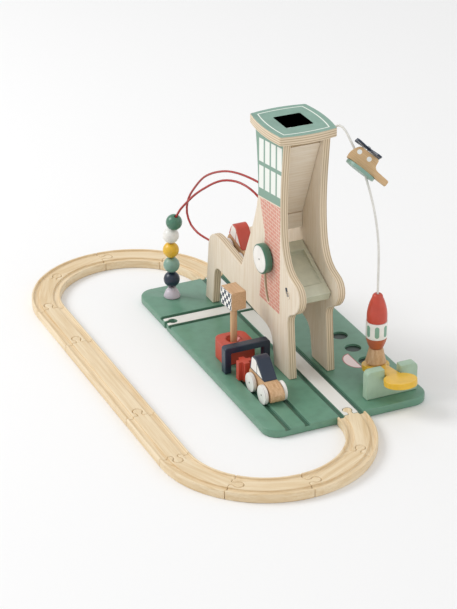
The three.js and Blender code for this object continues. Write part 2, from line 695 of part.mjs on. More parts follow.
// ---- helicopter ---------------------------------------------------------------------------
// the group stands so that its wire line follows the bend
function helicopterFrame() {
  const [climb, heading] = [rad(HELI_CLIMB), rad(BEND_HEADING)];
  const flat = new THREE.Vector3(Math.cos(heading), Math.sin(heading), 0);
  const up = new THREE.Vector3(0, 0, 1);
  const along = flat.clone().multiplyScalar(-Math.sin(climb)).addScaledVector(up, Math.cos(climb));
  const out = flat.clone().multiplyScalar(Math.cos(climb)).addScaledVector(up, Math.sin(climb));
  const side = new THREE.Vector3().crossVectors(along, out);
  const [turn, lean] = [rad(HELI_TURN), rad(HELI_WIRE_ANGLE)];
  const across = out.multiplyScalar(Math.cos(turn)).addScaledVector(side, Math.sin(turn));
  const nose = along.clone().multiplyScalar(Math.cos(lean)).addScaledVector(across, -Math.sin(lean));
  const roof = along.clone().multiplyScalar(Math.sin(lean)).addScaledVector(across, Math.cos(lean));
  const left = new THREE.Vector3().crossVectors(roof, nose);
  const frame = new THREE.Group();
  frame.quaternion.setFromRotationMatrix(new THREE.Matrix4().makeBasis(nose, left, roof));
  const bore = boreMiddle();
  const offset = new THREE.Vector3(bore.x, 0, bore.z).applyQuaternion(frame.quaternion);
  frame.position.copy(bendPoint(HELI_CLIMB)).sub(offset);
  return frame;
}

// halfway between the disc's underside and the nose on the line of the wire
function boreMiddle() {
  const rise = Math.tan(rad(HELI_WIRE_ANGLE));
  const x = (HELI_WIRE_X - (DISC_THICKNESS + GAP) / rise + HELI_NOSE) / 2;
  return { x, z: (x - HELI_WIRE_X) * rise };
}

function helicopter() {
  const frame = helicopterFrame();
  set.add(frame);
  const middle = boreMiddle();
  const bore = place(
    new THREE.CylinderGeometry(HELI_BORE, HELI_BORE, 120, 14).rotateZ(-Math.PI / 2).rotateY(-rad(HELI_WIRE_ANGLE)),
    middle.x, 0, middle.z,
  );
  const shape = new THREE.Shape();
  shape.moveTo(HELI_NOSE - 1, 0);
  shape.quadraticCurveTo(HELI_NOSE + 1, 8, HELI_NOSE - 2, 14);
  shape.quadraticCurveTo(HELI_NOSE - 5, HELI_HEIGHT, HELI_NOSE - 10, HELI_HEIGHT);
  shape.lineTo(HELI_CABIN_BACK + 4, HELI_HEIGHT);
  shape.quadraticCurveTo(HELI_CABIN_BACK, HELI_HEIGHT, HELI_CABIN_BACK, HELI_HEIGHT - 5);
  shape.quadraticCurveTo(HELI_CABIN_BACK, 9, HELI_CABIN_BACK - 8, 8.5);
  shape.lineTo(HELI_TAIL + 2, 7.5);
  shape.quadraticCurveTo(HELI_TAIL, 7, HELI_TAIL, 5);
  shape.lineTo(HELI_TAIL, 0);
  const pinHole = upright(ROTOR_PIN_RADIUS + FIT, ROTOR_PIN_LOW - GAP, HELI_HEIGHT + 5);
  const body = solid(plate(shape, -HELI_WIDTH / 2, HELI_WIDTH / 2, 5));
  add('helicopter_body', cut(body, [bore, pinHole]), look.beech, frame);
  const disc = upright(DISC_RADIUS, -GAP - DISC_THICKNESS, -GAP, 28).translate(DISC_X, 0, 0);
  add('helicopter_disc', cut(solid(disc), [bore]), look.sage, frame);
  const rotorLow = HELI_HEIGHT + ROTOR_LIFT;
  const rotorHole = upright(ROTOR_PIN_RADIUS + RUN, rotorLow - 5, rotorLow + ROTOR_THICKNESS + 5);
  const blade = () => slab(bladeOutline(), rotorLow, ROTOR_THICKNESS, { curveSegments: 5 });
  const cross = solid(blade().rotateZ(Math.PI / 4)).add(solid(blade().rotateZ(-Math.PI / 4)));
  add('helicopter_rotor', cut(cross, [rotorHole]), look.navy, frame);
  const pinTop = rotorLow + ROTOR_THICKNESS + RUN;
  const head = 2 * ROTOR_PIN_RADIUS;
  const pin = [
    [0, ROTOR_PIN_LOW], [ROTOR_PIN_RADIUS, ROTOR_PIN_LOW], [ROTOR_PIN_RADIUS, pinTop], [head, pinTop],
    [head - 0.8, pinTop + 1.2], [0, pinTop + 1.6],
  ];
  add('rotor_pin', turned(pin, 12), look.steel, frame);
}

function bladeOutline() {
  const half = ROTOR_WIDTH / 2;
  const shape = new THREE.Shape();
  shape.moveTo(-ROTOR_REACH + half, -half);
  shape.lineTo(ROTOR_REACH - half, -half);
  shape.absarc(ROTOR_REACH - half, 0, half, -Math.PI / 2, Math.PI / 2);
  shape.lineTo(-ROTOR_REACH + half, half);
  shape.absarc(-ROTOR_REACH + half, 0, half, Math.PI / 2, 1.5 * Math.PI);
  return shape;
}

// an upright cylinder between two heights
function upright(radius, z0, z1, sides = 16) {
  return place(new THREE.CylinderGeometry(radius, radius, z1 - z0, sides).rotateX(Math.PI / 2), 0, 0, (z0 + z1) / 2);
}

// ---- rocket and launcher ------------------------------------------------------------------
function launcher() {
  const [near, far] = [LAUNCH_Y - BRACKET_WIDTH / 2, LAUNCH_Y + BRACKET_WIDTH / 2];
  const half = BRACKET_THICKNESS / 2;
  const foot = TOP + GAP;
  const bracket = roundedRectangle(BRACKET_WIDTH, 2 * BRACKET_HEIGHT, 7);
  const whole = plate(bracket, -half, half, 4).rotateZ(Math.PI / 2).translate(BRACKET_X, LAUNCH_Y, TOP);
  const below = box(BRACKET_X - 20, BRACKET_X + 20, near - 5, far + 5, TOP - 2 * BRACKET_HEIGHT, foot);
  const notchFloor = LEVER_AXLE_Z - LEVER_THICKNESS;
  const [left, right] = [LAUNCH_Y - NOTCH_WIDTH / 2, LAUNCH_Y + NOTCH_WIDTH / 2];
  const notch = box(BRACKET_X - 20, BRACKET_X + 20, left, right, notchFloor, TOP + BRACKET_HEIGHT + 5);
  const pinEnd = left - LEVER_PIN_SUNK;
  const pinHole = rod(LEVER_PIN_RADIUS + FIT, BRACKET_X, pinEnd - GAP, far + 5, LEVER_AXLE_Z, 12);
  add('lever_bracket', cut(solid(whole), [below, notch, pinHole]), look.mint);
  add('lever_pin', rod(LEVER_PIN_RADIUS, BRACKET_X, pinEnd, far - 2, LEVER_AXLE_Z, 12), look.steel);
  const tip = new THREE.Group();
  tip.position.set(BRACKET_X, LAUNCH_Y, LEVER_AXLE_Z);
  tip.rotation.y = -rad(LEVER_REST);
  set.add(tip);
  add('launch_lever', leverBody(), look.yellow, tip);
}

// the lever lies level about its pin: paddle towards +X, seat under the rocket towards -X
function leverBody() {
  const half = LEVER_THICKNESS / 2;
  const seat = (BRACKET_X - ROCKET_X) / Math.cos(rad(LEVER_REST));
  const disc = (radius, x, sides) => solid(upright(radius, -half, half, sides).translate(x, 0, 0));
  const neck = solid(box(-seat, PADDLE_REACH, -LEVER_NECK / 2, LEVER_NECK / 2, -half, half));
  const body = neck.add(disc(PADDLE_RADIUS, PADDLE_REACH, 28)).add(disc(SEAT_RADIUS, -seat, 26));
  const wireHole = slab(slotOutline(2 * LEVER_SLOT, LEVER_SLOT), -half - 5, LEVER_THICKNESS + 10);
  const pinHole = rod(LEVER_PIN_RADIUS + RUN, 0, -LEVER_NECK, LEVER_NECK, 0, 12);
  return cut(body, [wireHole.translate(-seat, 0, 0), pinHole]);
}

// a slot along X with round ends: its straight length and the radius of its ends
function slotOutline(length, radius) {
  const shape = new THREE.Shape();
  shape.absarc(length / 2, 0, radius, -Math.PI / 2, Math.PI / 2);
  shape.absarc(-length / 2, 0, radius, Math.PI / 2, 1.5 * Math.PI);
  return shape;
}

// the stand rests on the high side of the tipped seat, and the rocket rests on the stand
function rocket() {
  const slope = rad(LEVER_REST);
  const seatTop = LEVER_AXLE_Z + LEVER_THICKNESS / 2 / Math.cos(slope);
  const foot = seatTop - (BRACKET_X - ROCKET_X - STAND_RADIUS) * Math.tan(slope) + GAP;
  const part = (name, low, outline, material) => {
    const raised = outline.map(([r, z]) => [r, low + z]);
    add(name, turnedRing(raised, ROCKET_BORE, 22).translate(ROCKET_X, LAUNCH_Y, 0), material);
  };
  const waist = STAND_RADIUS - 4.5;
  part('rocket_stand', foot, [[STAND_RADIUS - 1, 0], [STAND_RADIUS, 1], [STAND_RADIUS - 1, 4],
    [waist, STAND_HEIGHT]], look.beech);
  const tail = foot + STAND_HEIGHT + GAP;
  part('rocket_tail', tail, [[waist, 0], [waist + 0.7, 3], [ROCKET_RADIUS - 1.5, TAPER_HEIGHT - 4],
    [ROCKET_RADIUS, TAPER_HEIGHT]], look.orange);
  const band = tail + TAPER_HEIGHT + GAP;
  part('rocket_band', band, [[ROCKET_RADIUS, 0], [ROCKET_RADIUS, BAND_HEIGHT]], look.white);
  const nose = band + BAND_HEIGHT + GAP;
  part('rocket_nose', nose, noseOutline(), look.red);
}

// a round-shouldered nose that narrows to a blunt rounded tip
function noseOutline() {
  const shoulder = ROCKET_RADIUS - 0.7;
  const tip = ROCKET_RADIUS / 2;
  const curve = new THREE.QuadraticBezierCurve(
    new THREE.Vector2(shoulder, 9), new THREE.Vector2(shoulder - 1, 22), new THREE.Vector2(tip, NOSE_HEIGHT - 5),
  );
  const side = curve.getPoints(4).map((p) => [p.x, p.y]);
  return [[shoulder, 0], ...side, [tip - 0.8, NOSE_HEIGHT - 2], [tip - 2.8, NOSE_HEIGHT]];
}

// ---- mallet, arch and roller --------------------------------------------------------------
function malletAndBlock() {
  const top = TOP + BLOCK_HEIGHT;
  const [x, y] = [BLOCK_LENGTH / 2, BLOCK_WIDTH / 2];
  const outline = new THREE.Shape();
  const round = 12;
  outline.moveTo(x, -y);
  outline.lineTo(x, y);
  outline.lineTo(-x + round, y);
  outline.absarc(-x + round, y - round, round, Math.PI / 2, Math.PI);
  outline.lineTo(-x, -y + round);
  outline.absarc(-x + round, -y + round, round, Math.PI, 1.5 * Math.PI);
  const block = slab(outline, TOP + GAP, BLOCK_HEIGHT - GAP, { curveSegments: 6 }).translate(BLOCK_X, BLOCK_Y, 0);
  const bore = HANDLE_RADIUS + RUN;
  const floor = top - BLOCK_BORE_DEPTH;
  const mouth = turned([[0, floor], [bore, floor], [bore, top - 7], [BLOCK_MOUTH, top - 1.5], [BLOCK_MOUTH, top + 5],
    [0, top + 5]], 24);
  add('block_holder', cut(solid(block), [mouth.translate(BLOCK_X, BLOCK_Y, 0)]), look.red);
  const mallet = new THREE.Group();
  mallet.position.set(BLOCK_X, BLOCK_Y, floor + GAP);
  mallet.rotation.z = rad(MALLET_TURN);
  set.add(mallet);
  const headLow = HANDLE_LENGTH - HANDLE_SUNK;
  const handle = turned([[0, 0], [HANDLE_RADIUS - 0.8, 0], [HANDLE_RADIUS, 0.8], [HANDLE_RADIUS, HANDLE_LENGTH - 1],
    [HANDLE_RADIUS - 1, HANDLE_LENGTH], [0, HANDLE_LENGTH]], 18);
  add('mallet_handle', handle, look.beech, mallet);
  const [hx, hy] = [HEAD_LENGTH / 2, HEAD_WIDTH / 2];
  const head = solid(box(-hx, hx, -hy, hy, headLow, headLow + HEAD_HEIGHT));
  const socket = upright(HANDLE_RADIUS + FIT, headLow - 5, HANDLE_LENGTH + GAP, 18);
  add('mallet_head', cut(head, [socket]), look.beech, mallet);
}

function washArch() {
  const half = ARCH_SPAN / 2;
  const foot = TOP + GAP;
  const top = TOP + ARCH_TALL;
  const round = 4;
  const shape = new THREE.Shape();
  shape.moveTo(-half, foot);
  shape.lineTo(-half + ARCH_BAR, foot);
  shape.lineTo(-half + ARCH_BAR, top - ARCH_BAR);
  shape.lineTo(half - ARCH_BAR, top - ARCH_BAR);
  shape.lineTo(half - ARCH_BAR, foot);
  shape.lineTo(half, foot);
  shape.lineTo(half, top - round);
  shape.absarc(half - round, top - round, round, 0, Math.PI / 2);
  shape.lineTo(-half + round, top);
  shape.absarc(-half + round, top - round, round, Math.PI / 2, Math.PI);
  const arch = plate(shape, -ARCH_THICKNESS / 2, ARCH_THICKNESS / 2, 4).rotateZ(Math.PI / 2);
  add('wash_arch', arch.translate(ARCH_X, ARCH_Y, 0), look.navy);
}

// a brush of cross section that turns on a pin
function washRoller() {
  const foot = TOP + RUN;
  const bar = (length, width) => solid(box(-length, length, -width, width, foot, foot + ROLLER_HEIGHT));
  const arm = ROLLER_ARM / 2;
  const pinTop = TOP + ROLLER_PIN_HEIGHT;
  const hole = upright(ROLLER_PIN_RADIUS + RUN, 0, pinTop + RUN);
  const brush = cut(bar(ROLLER_REACH, arm).add(bar(arm, ROLLER_REACH)), [hole]);
  add('wash_roller', brush, look.red).position.set(ROLLER_X, ROLLER_Y, 0);
  const pin = upright(ROLLER_PIN_RADIUS, TOP - ROLLER_PIN_SUNK + GAP, pinTop);
  add('roller_pin', pin, look.beech).position.set(ROLLER_X, ROLLER_Y, 0);
}

// ---- cars ---------------------------------------------------------------------------------
// a car stands on z = 0 with its middle at x = 0 and its nose towards +X
function car(name, x, y, z, slope, cabinMaterial) {
  const group = new THREE.Group();
  group.position.set(x, y, z);
  group.rotation.y = rad(slope);
  set.add(group);
  const half = CAR_WIDTH / 2;
  const axles = [['front', WHEELBASE / 2], ['rear', -WHEELBASE / 2]];
  const holes = axles.map(([, at]) => rod(AXLE_RADIUS + RUN, at, -CAR_WIDTH, CAR_WIDTH, WHEEL_RADIUS, 12));
  const shape = new THREE.Shape();
  shape.moveTo(CAR_BACK + 5, CAR_UNDER);
  shape.lineTo(CAR_FRONT - 5, CAR_UNDER);
  shape.quadraticCurveTo(CAR_FRONT + 1, CAR_UNDER + 2, CAR_FRONT, CAR_UNDER + 11);
  shape.quadraticCurveTo(CAR_FRONT - 3, HOOD_HEIGHT - 3, CAR_FRONT - 20, HOOD_HEIGHT);
  shape.lineTo(CAR_BACK + 4, HOOD_HEIGHT);
  shape.quadraticCurveTo(CAR_BACK - 2, HOOD_HEIGHT - 8, CAR_BACK, CAR_UNDER + 8);
  shape.quadraticCurveTo(CAR_BACK + 1, CAR_UNDER + 1, CAR_BACK + 5, CAR_UNDER);
  add(`${name}_body`, cut(solid(plate(shape, -half, half, 5)), holes), look.beech, group);
  const foot = HOOD_HEIGHT + GAP;
  const cabin = new THREE.Shape();
  cabin.moveTo(CAR_BACK + 3, foot);
  cabin.lineTo(CAR_FRONT - 23, foot);
  cabin.lineTo(CAR_BACK + 26, ROOF_HEIGHT - 2);
  cabin.quadraticCurveTo(CAR_BACK + 22, ROOF_HEIGHT, CAR_BACK + 16, ROOF_HEIGHT);
  cabin.quadraticCurveTo(CAR_BACK + 8, ROOF_HEIGHT, CAR_BACK + 3, foot);
  add(`${name}_cabin`, plate(cabin, -half, half, 5), cabinMaterial, group);
  for (const [end, at] of axles) {
    add(`${name}_${end}_wheels`, wheelPair(), look.beech, group).position.set(at, 0, WHEEL_RADIUS);
  }
}

// two wheels fixed on one axle along Y
function wheelPair() {
  const inner = GAUGE / 2 - WHEEL_WIDTH / 2;
  const outer = inner + WHEEL_WIDTH;
  const r = WHEEL_RADIUS;
  const oneSide = [[AXLE_RADIUS, inner], [r, inner], [r, outer - 1], [r - 1, outer], [0, outer]];
  const otherSide = oneSide.map(([radius, y]) => [radius, -y]).reverse();
  const points = [...otherSide, ...oneSide].map(([radius, y]) => new THREE.Vector2(radius, y));
  return new THREE.LatheGeometry(points, 22);
}

function cars() {
  car('front_car', FRONT_CAR_X, ROAD_Y, TOP - GROOVE_DEPTH + GAP, 0, look.navy);
  const lift = GAP / Math.cos(rad(RAMP_SLOPE));
  car('ramp_car', RAMP_MID_X, 0, RAMP_MID_Z + lift, RAMP_SLOPE, look.red);
}

baseBoard();
loopTrack();
sidePanels();
helipad();
innerBoards();
tippingTray();
wires();
beads();
helicopter();
launcher();
rocket();
malletAndBlock();
washArch();
washRoller();
cars();

export default set;
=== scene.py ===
import json
import math

import bmesh
import bpy
from mathutils import Matrix, Vector


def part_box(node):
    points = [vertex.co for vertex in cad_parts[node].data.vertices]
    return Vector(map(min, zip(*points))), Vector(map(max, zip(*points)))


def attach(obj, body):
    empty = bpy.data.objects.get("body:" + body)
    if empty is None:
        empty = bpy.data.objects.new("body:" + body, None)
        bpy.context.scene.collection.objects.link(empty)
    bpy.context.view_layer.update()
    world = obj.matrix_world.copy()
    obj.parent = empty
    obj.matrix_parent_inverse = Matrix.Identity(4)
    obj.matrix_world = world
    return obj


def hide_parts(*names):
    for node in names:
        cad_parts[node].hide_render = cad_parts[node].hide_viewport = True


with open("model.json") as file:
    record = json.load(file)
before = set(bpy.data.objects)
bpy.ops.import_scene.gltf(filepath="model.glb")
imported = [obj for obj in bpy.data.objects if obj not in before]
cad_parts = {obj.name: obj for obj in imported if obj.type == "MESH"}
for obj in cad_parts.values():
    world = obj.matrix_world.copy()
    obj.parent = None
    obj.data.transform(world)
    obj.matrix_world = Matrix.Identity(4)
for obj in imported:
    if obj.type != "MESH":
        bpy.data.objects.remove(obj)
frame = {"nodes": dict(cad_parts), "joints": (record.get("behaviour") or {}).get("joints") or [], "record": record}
bpy.context.view_layer.update()
mm = 0.001
joints = {joint["name"]: joint for joint in frame["joints"]}
xAxis, yAxis, zAxis = Vector((1, 0, 0)), Vector((0, 1, 0)), Vector((0, 0, 1))

# The camera stands three metres back from the front end of the board and looks down on it.
camera = {
    "aim": (-0.14537, -0.005206, 0.0),
    "distance": 2.97893,
    "pitch": 27.050,
    "yaw": 24.391,
    "roll": -0.2347,
    "lens": 125.92,
    "sensor": 36,
    "reach": 50,
}


def makeCamera():
    pitch, yaw, roll = (math.radians(camera[key]) for key in ("pitch", "yaw", "roll"))
    level = Vector((-math.cos(yaw), math.sin(yaw), 0))
    forward = level * math.cos(pitch) - zAxis * math.sin(pitch)
    right = Vector((math.sin(yaw), math.cos(yaw), 0))
    up = right.cross(forward)
    right, up = right * math.cos(roll) + up * math.sin(roll), up * math.cos(roll) - right * math.sin(roll)
    data = bpy.data.cameras.new("camera")
    data.sensor_width = camera["sensor"]
    data.lens = camera["lens"]
    data.clip_end = camera["reach"]
    eye = bpy.data.objects.new("camera", data)
    bpy.context.scene.collection.objects.link(eye)
    turn = Matrix((right, up, -forward)).transposed()
    stand = Vector(camera["aim"]) - forward * camera["distance"]
    eye.matrix_world = Matrix.Translation(stand) @ turn.to_4x4()
    bpy.context.scene.camera = eye


makeCamera()
print("camera placed")


def linear(hexColour):
    channels = [int(hexColour[i:i + 2], 16) / 255 for i in (1, 3, 5)]
    return (*[c / 12.92 if c <= 0.04045 else ((c + 0.055) / 1.055) ** 2.4 for c in channels], 1)


# adds one shader node: inputs are values or other nodes' outputs, settings are the node's own fields
def addNode(tree, kind, inputs=None, out=0, **settings):
    node = tree.nodes.new("ShaderNode" + kind)
    for field, value in settings.items():
        setattr(node, field, value)
    for key, value in (inputs or {}).items():
        if isinstance(value, bpy.types.NodeSocket):
            tree.links.new(value, node.inputs[key])
        else:
            node.inputs[key].default_value = value
    return node.outputs[out] if len(node.outputs) else node


def startMaterial(name):
    material = bpy.data.materials.new(name)
    material.use_nodes = True
    material.node_tree.nodes.clear()
    return material, material.node_tree


# joins colour, roughness and bump to the surface; fixed values sit on the shader itself
def finishMaterial(tree, colour, roughness, height=None, bumpDepth=0.1, **fixed):
    inputs = {"Base Color": colour, "Roughness": roughness}
    inputs.update({key.replace("_", " "): value for key, value in fixed.items()})
    if height is not None:
        bump = {"Height": height, "Strength": 1.0, "Distance": bumpDepth * mm}
        inputs["Normal"] = addNode(tree, "Bump", bump)
    shader = addNode(tree, "BsdfPrincipled", inputs)
    addNode(tree, "OutputMaterial", {"Surface": shader})


def blendColours(tree, share, first, second):
    mix = {"Factor": share, 6: first, 7: second}
    return addNode(tree, "Mix", mix, out=2, data_type="RGBA")


# 1 where a value lies between two limits, with an edge as soft as printed ink
def between(tree, value, low, high, soft=0.3 * mm):
    rise = addNode(tree, "MapRange", {"Value": value, "From Min": low - soft, "From Max": low + soft})
    fall = addNode(tree, "MapRange", {"Value": value, "From Min": high + soft, "From Max": high - soft})
    return addNode(tree, "Math", {0: rise, 1: fall}, operation="MULTIPLY")


def allOf(tree, *masks):
    whole = masks[0]
    for mask in masks[1:]:
        whole = addNode(tree, "Math", {0: whole, 1: mask}, operation="MULTIPLY")
    return whole


# a straight line a*x + b*y + c*z + d of the piece's own coordinates
def lineOf(tree, weights, offset=0.0):
    place = addNode(tree, "TexCoord", out=3)
    reach = addNode(tree, "VectorMath", {0: place, 1: weights}, out=1, operation="DOT_PRODUCT")
    return addNode(tree, "Math", {0: reach, 1: offset}, operation="ADD")


def facing(tree, direction, limit=0.7):
    normal = addNode(tree, "TexCoord", out=1)
    turn = addNode(tree, "VectorMath", {0: normal, 1: direction}, out=1, operation="DOT_PRODUCT")
    return addNode(tree, "Math", {0: turn, 1: limit}, operation="GREATER_THAN")


# fibres of wood: long soft streaks along one axis of the piece, in metres across
def fibres(tree, along, width, detail=6.0, stretch=22.0):
    place = addNode(tree, "TexCoord", out=3)
    scale = [1 / width / (stretch if axis == along else 1) for axis in "xyz"]
    seed = addNode(tree, "ObjectInfo", out=5)
    shift = addNode(tree, "VectorMath", {0: seed, 1: (7.0, 13.0, 29.0)}, operation="MULTIPLY")
    moved = addNode(tree, "Mapping", {"Vector": place, "Location": shift, "Scale": scale})
    return addNode(tree, "TexNoise", {"Vector": moved, "Scale": 1.0, "Detail": detail, "Roughness": 0.62})


birchPly = {
    "face": "#e6dac8",
    "faceDark": "#d6c3a6",
    "edgePale": "#e0cfb4",
    "edgeDark": "#a88c68",
    "veneer": 1.55 * mm,  # thickness of one layer
    "fibre": 2.4 * mm,
    "roughness": 0.52,  # clear satin lacquer
}


# birch plywood, sanded and lacquered: a calm pale face, and edges striped by its crossed layers
def plyColour(tree, layers, grain):
    streak = fibres(tree, grain, birchPly["fibre"])
    pale, dark = linear(birchPly["face"]), linear(birchPly["faceDark"])
    soft = addNode(tree, "MapRange", {"Value": streak, "From Min": 0.42, "From Max": 0.8})
    face = blendColours(tree, soft, pale, dark)
    depth = lineOf(tree, tuple(layers))
    wobble = addNode(tree, "Math", {0: streak, 1: 0.35 * mm, 2: depth}, operation="MULTIPLY_ADD")
    turns = addNode(tree, "Math", {0: wobble, 1: math.pi / birchPly["veneer"]}, operation="MULTIPLY")
    wave = addNode(tree, "Math", {0: turns}, operation="SINE")
    layer = addNode(tree, "MapRange", {"Value": wave, "From Min": -0.2, "From Max": 0.9})
    shade = addNode(tree, "Math", {0: layer, 1: 0.75}, operation="MULTIPLY")
    edge = blendColours(tree, shade, linear(birchPly["edgePale"]), linear(birchPly["edgeDark"]))
    normal = addNode(tree, "TexCoord", out=1)
    turn = addNode(tree, "VectorMath", {0: normal, 1: tuple(layers)}, out=1, operation="DOT_PRODUCT")
    size = addNode(tree, "Math", {0: turn}, operation="ABSOLUTE")
    onEdge = addNode(tree, "MapRange", {"Value": size, "From Min": 0.75, "From Max": 0.55})
    return blendColours(tree, onEdge, face, edge), streak


def plywood(name, layers, grain):
    material, tree = startMaterial(name)
    colour, streak = plyColour(tree, layers, grain)
    finishMaterial(tree, colour, birchPly["roughness"], streak, 0.04)
    return material


wallPrint = {
    "sage": "#7f9f8f",
    "pane": "#e9ece6",
    "brick": "#cf7d6d",
    "sign": "#2b3440",
    "windowLow": 250 * mm,
    "windowMid": 45 * mm,  # middle of the window, along the tower
    "windowHalf": 35 * mm,
    "windowLean": 0.14,  # the window's lines climb towards the front
    "paneHeight": 37 * mm,
    "upright": 4.2 * mm,  # bars between the panes
    "rail": 5.6 * mm,
    "band": 9 * mm,
    "brickWide": 11.5 * mm,
    "brickTall": 4.9 * mm,
    "brickFront": 75 * mm,
    "brickLow": 93 * mm,
    "brickGap": 1.5 * mm,
    "mortar": 0.42 * mm,
    # x and z of a point on each sloping rear edge of the bricks, and the slope
    "brickEdges": ((13 * mm, 241 * mm, 0.33), (30.5 * mm, 188 * mm, -0.17)),
    "windowSpan": 45 * mm,  # half the width of the sage panel
    "windowTop": 200 * mm,
    "signAt": (96 * mm, 135 * mm),
    "signLean": (0.9, 0.42),  # which way its short side points
    "signHalf": (3 * mm, 6 * mm),
    "slit": (0.6 * mm, 1 * mm),  # half its width, and how far up the sign it runs
}


# the printed wall of the tower: a sage window of eight panes over a strip of red bricks
def printedPlywood():
    material, tree = startMaterial("birch plywood, printed wall")
    colour, streak = plyColour(tree, yAxis, "z")
    p = wallPrint
    outside = facing(tree, (0, -1, 0), 0.9)
    x = lineOf(tree, (1, 0, 0))
    climbing = lineOf(tree, (-p["windowLean"], 0, 1), p["windowLean"] * p["windowMid"] - p["windowLow"])
    window = allOf(
        tree, outside, between(tree, climbing, -p["band"], p["windowTop"]),
        between(tree, x, p["windowMid"] - p["windowSpan"], p["windowMid"] + p["windowSpan"]),
    )
    column = p["windowHalf"] / 2
    fromSide = addNode(tree, "Math", {0: x, 1: p["windowHalf"] - p["windowMid"]}, operation="ADD")
    inColumn = addNode(tree, "Math", {0: fromSide, 1: column}, operation="FLOORED_MODULO")
    inRow = addNode(tree, "Math", {0: climbing, 1: p["paneHeight"]}, operation="FLOORED_MODULO")
    half, halfRail = p["upright"] / 2, p["rail"] / 2
    panes = allOf(
        tree, between(tree, inColumn, half, column - half),
        between(tree, inRow, halfRail, p["paneHeight"] - halfRail),
        between(tree, climbing, 0, 2 * p["paneHeight"]), between(tree, fromSide, 0, 2 * p["windowHalf"]),
    )
    glazed = blendColours(tree, panes, linear(p["sage"]), linear(p["pane"]))
    place = addNode(tree, "TexCoord", out=3)
    flat = addNode(tree, "Mapping", {"Vector": place, "Rotation": (math.pi / 2, 0, 0)})
    brick = addNode(tree, "TexBrick", {
        "Vector": flat, "Scale": 1.0, "Mortar Size": p["mortar"], "Mortar Smooth": 0.3, "Bias": 0.0,
        "Brick Width": p["brickWide"], "Row Height": p["brickTall"],
    }, out=1)
    edges = [lineOf(tree, (1, 0, slope), -(edgeX + edgeZ * slope)) for edgeX, edgeZ, slope in p["brickEdges"]]
    back = addNode(tree, "Math", {0: edges[0], 1: edges[1]}, operation="MAXIMUM")
    wall = allOf(
        tree, outside, between(tree, back, 0, 1), between(tree, x, -1, p["brickFront"]),
        between(tree, climbing, -1, -p["band"] - p["brickGap"]),
        between(tree, lineOf(tree, (0, 0, 1)), p["brickLow"], 1),
    )
    solid = addNode(tree, "Math", {0: 1.0, 1: brick}, operation="SUBTRACT")
    worn = addNode(tree, "MapRange", {"Value": streak, "From Min": 0.3, "From Max": 0.7, "To Min": 0.65})
    colour = blendColours(tree, allOf(tree, wall, solid, worn), colour, linear(p["brick"]))
    colour = blendColours(tree, window, colour, glazed)
    signX, signZ = p["signAt"]
    leanX, leanZ = p["signLean"]
    halfWide, halfTall = p["signHalf"]
    slitHalf, slitTop = p["slit"]
    leaned = lineOf(tree, (leanX, 0, leanZ), -leanX * signX - leanZ * signZ)
    upright = lineOf(tree, (-leanZ, 0, leanX), leanZ * signX - leanX * signZ)
    sign = allOf(
        tree, outside, between(tree, leaned, -halfWide, halfWide),
        between(tree, upright, -halfTall, halfTall),
    )
    slit = allOf(tree, between(tree, leaned, -slitHalf, slitHalf), between(tree, upright, -halfTall, slitTop))
    clear = addNode(tree, "Math", {0: 1.0, 1: slit}, operation="SUBTRACT")
    colour = blendColours(tree, allOf(tree, sign, clear), colour, linear(p["sign"]))
    finishMaterial(tree, colour, birchPly["roughness"], streak, 0.04)
    return material


woods = {
    "beech": ("#d8b48c", "#b98d62", 1.5 * mm),
    "pine": ("#ecd9b8", "#d6b98c", 3.2 * mm),
}


# beech or pine, planed and lacquered: warm streaks with fine darker pores along the length
def solidWood(name, kind, grain, roughness=0.5):
    material, tree = startMaterial(name)
    pale, dark, width = woods[kind]
    broad = fibres(tree, grain, width * 2, 3.0)
    fine = fibres(tree, grain, width / 3, 5.0, 30.0)
    both = addNode(tree, "Math", {0: fine, 1: 0.5, 2: broad}, operation="MULTIPLY_ADD")
    share = addNode(tree, "MapRange", {"Value": both, "From Min": 0.6, "From Max": 1.0})
    colour = blendColours(tree, share, linear(pale), linear(dark))
    spread = {"Value": fine, "To Min": roughness - 0.08, "To Max": roughness + 0.1}
    gloss = addNode(tree, "MapRange", spread)
    finishMaterial(tree, colour, gloss, fine, 0.06, IOR=1.5)
    return material


paints = {
    "sage green": ("#64917a", 0.36),
    "deep green": ("#4b7c65", 0.33),
    "dusty green": ("#82a596", 0.42),
    "mint": ("#a9c4ac", 0.45),
    "cream sage": ("#cfcfb9", 0.45),
    "white": ("#f1efea", 0.4),
    "navy": ("#1d2c40", 0.36),
    "red": ("#c54632", 0.38),
    "burnt orange": ("#bf6340", 0.45),
    "yellow": ("#e8b92f", 0.36),
    "lavender": ("#cbc2cc", 0.42),
}


# water-based toy paint on wood: even colour, a little cloudy where the grain drank it
def paintColour(tree, shade):
    place = addNode(tree, "TexCoord", out=3)
    cloud = addNode(tree, "TexNoise", {"Vector": place, "Scale": 1 / (14 * mm), "Detail": 4.0})
    colour = linear(paints[shade][0])
    deep = (*[c * 0.86 for c in colour[:3]], 1)
    share = addNode(tree, "MapRange", {"Value": cloud, "From Min": 0.4, "From Max": 0.75})
    return blendColours(tree, share, colour, deep), place


def paintFinish(tree, colour, place, roughness):
    orange = addNode(tree, "TexNoise", {"Vector": place, "Scale": 1 / (1.1 * mm), "Detail": 3.0})
    spread = {"Value": orange, "To Min": roughness - 0.07, "To Max": roughness + 0.07}
    gloss = addNode(tree, "MapRange", spread)
    finishMaterial(tree, colour, gloss, orange, 0.03, IOR=1.49, Coat_Weight=0.25, Coat_Roughness=0.2)


def paint(shade):
    material, tree = startMaterial("satin paint, " + shade)
    colour, place = paintColour(tree, shade)
    paintFinish(tree, colour, place, paints[shade][1])
    return material


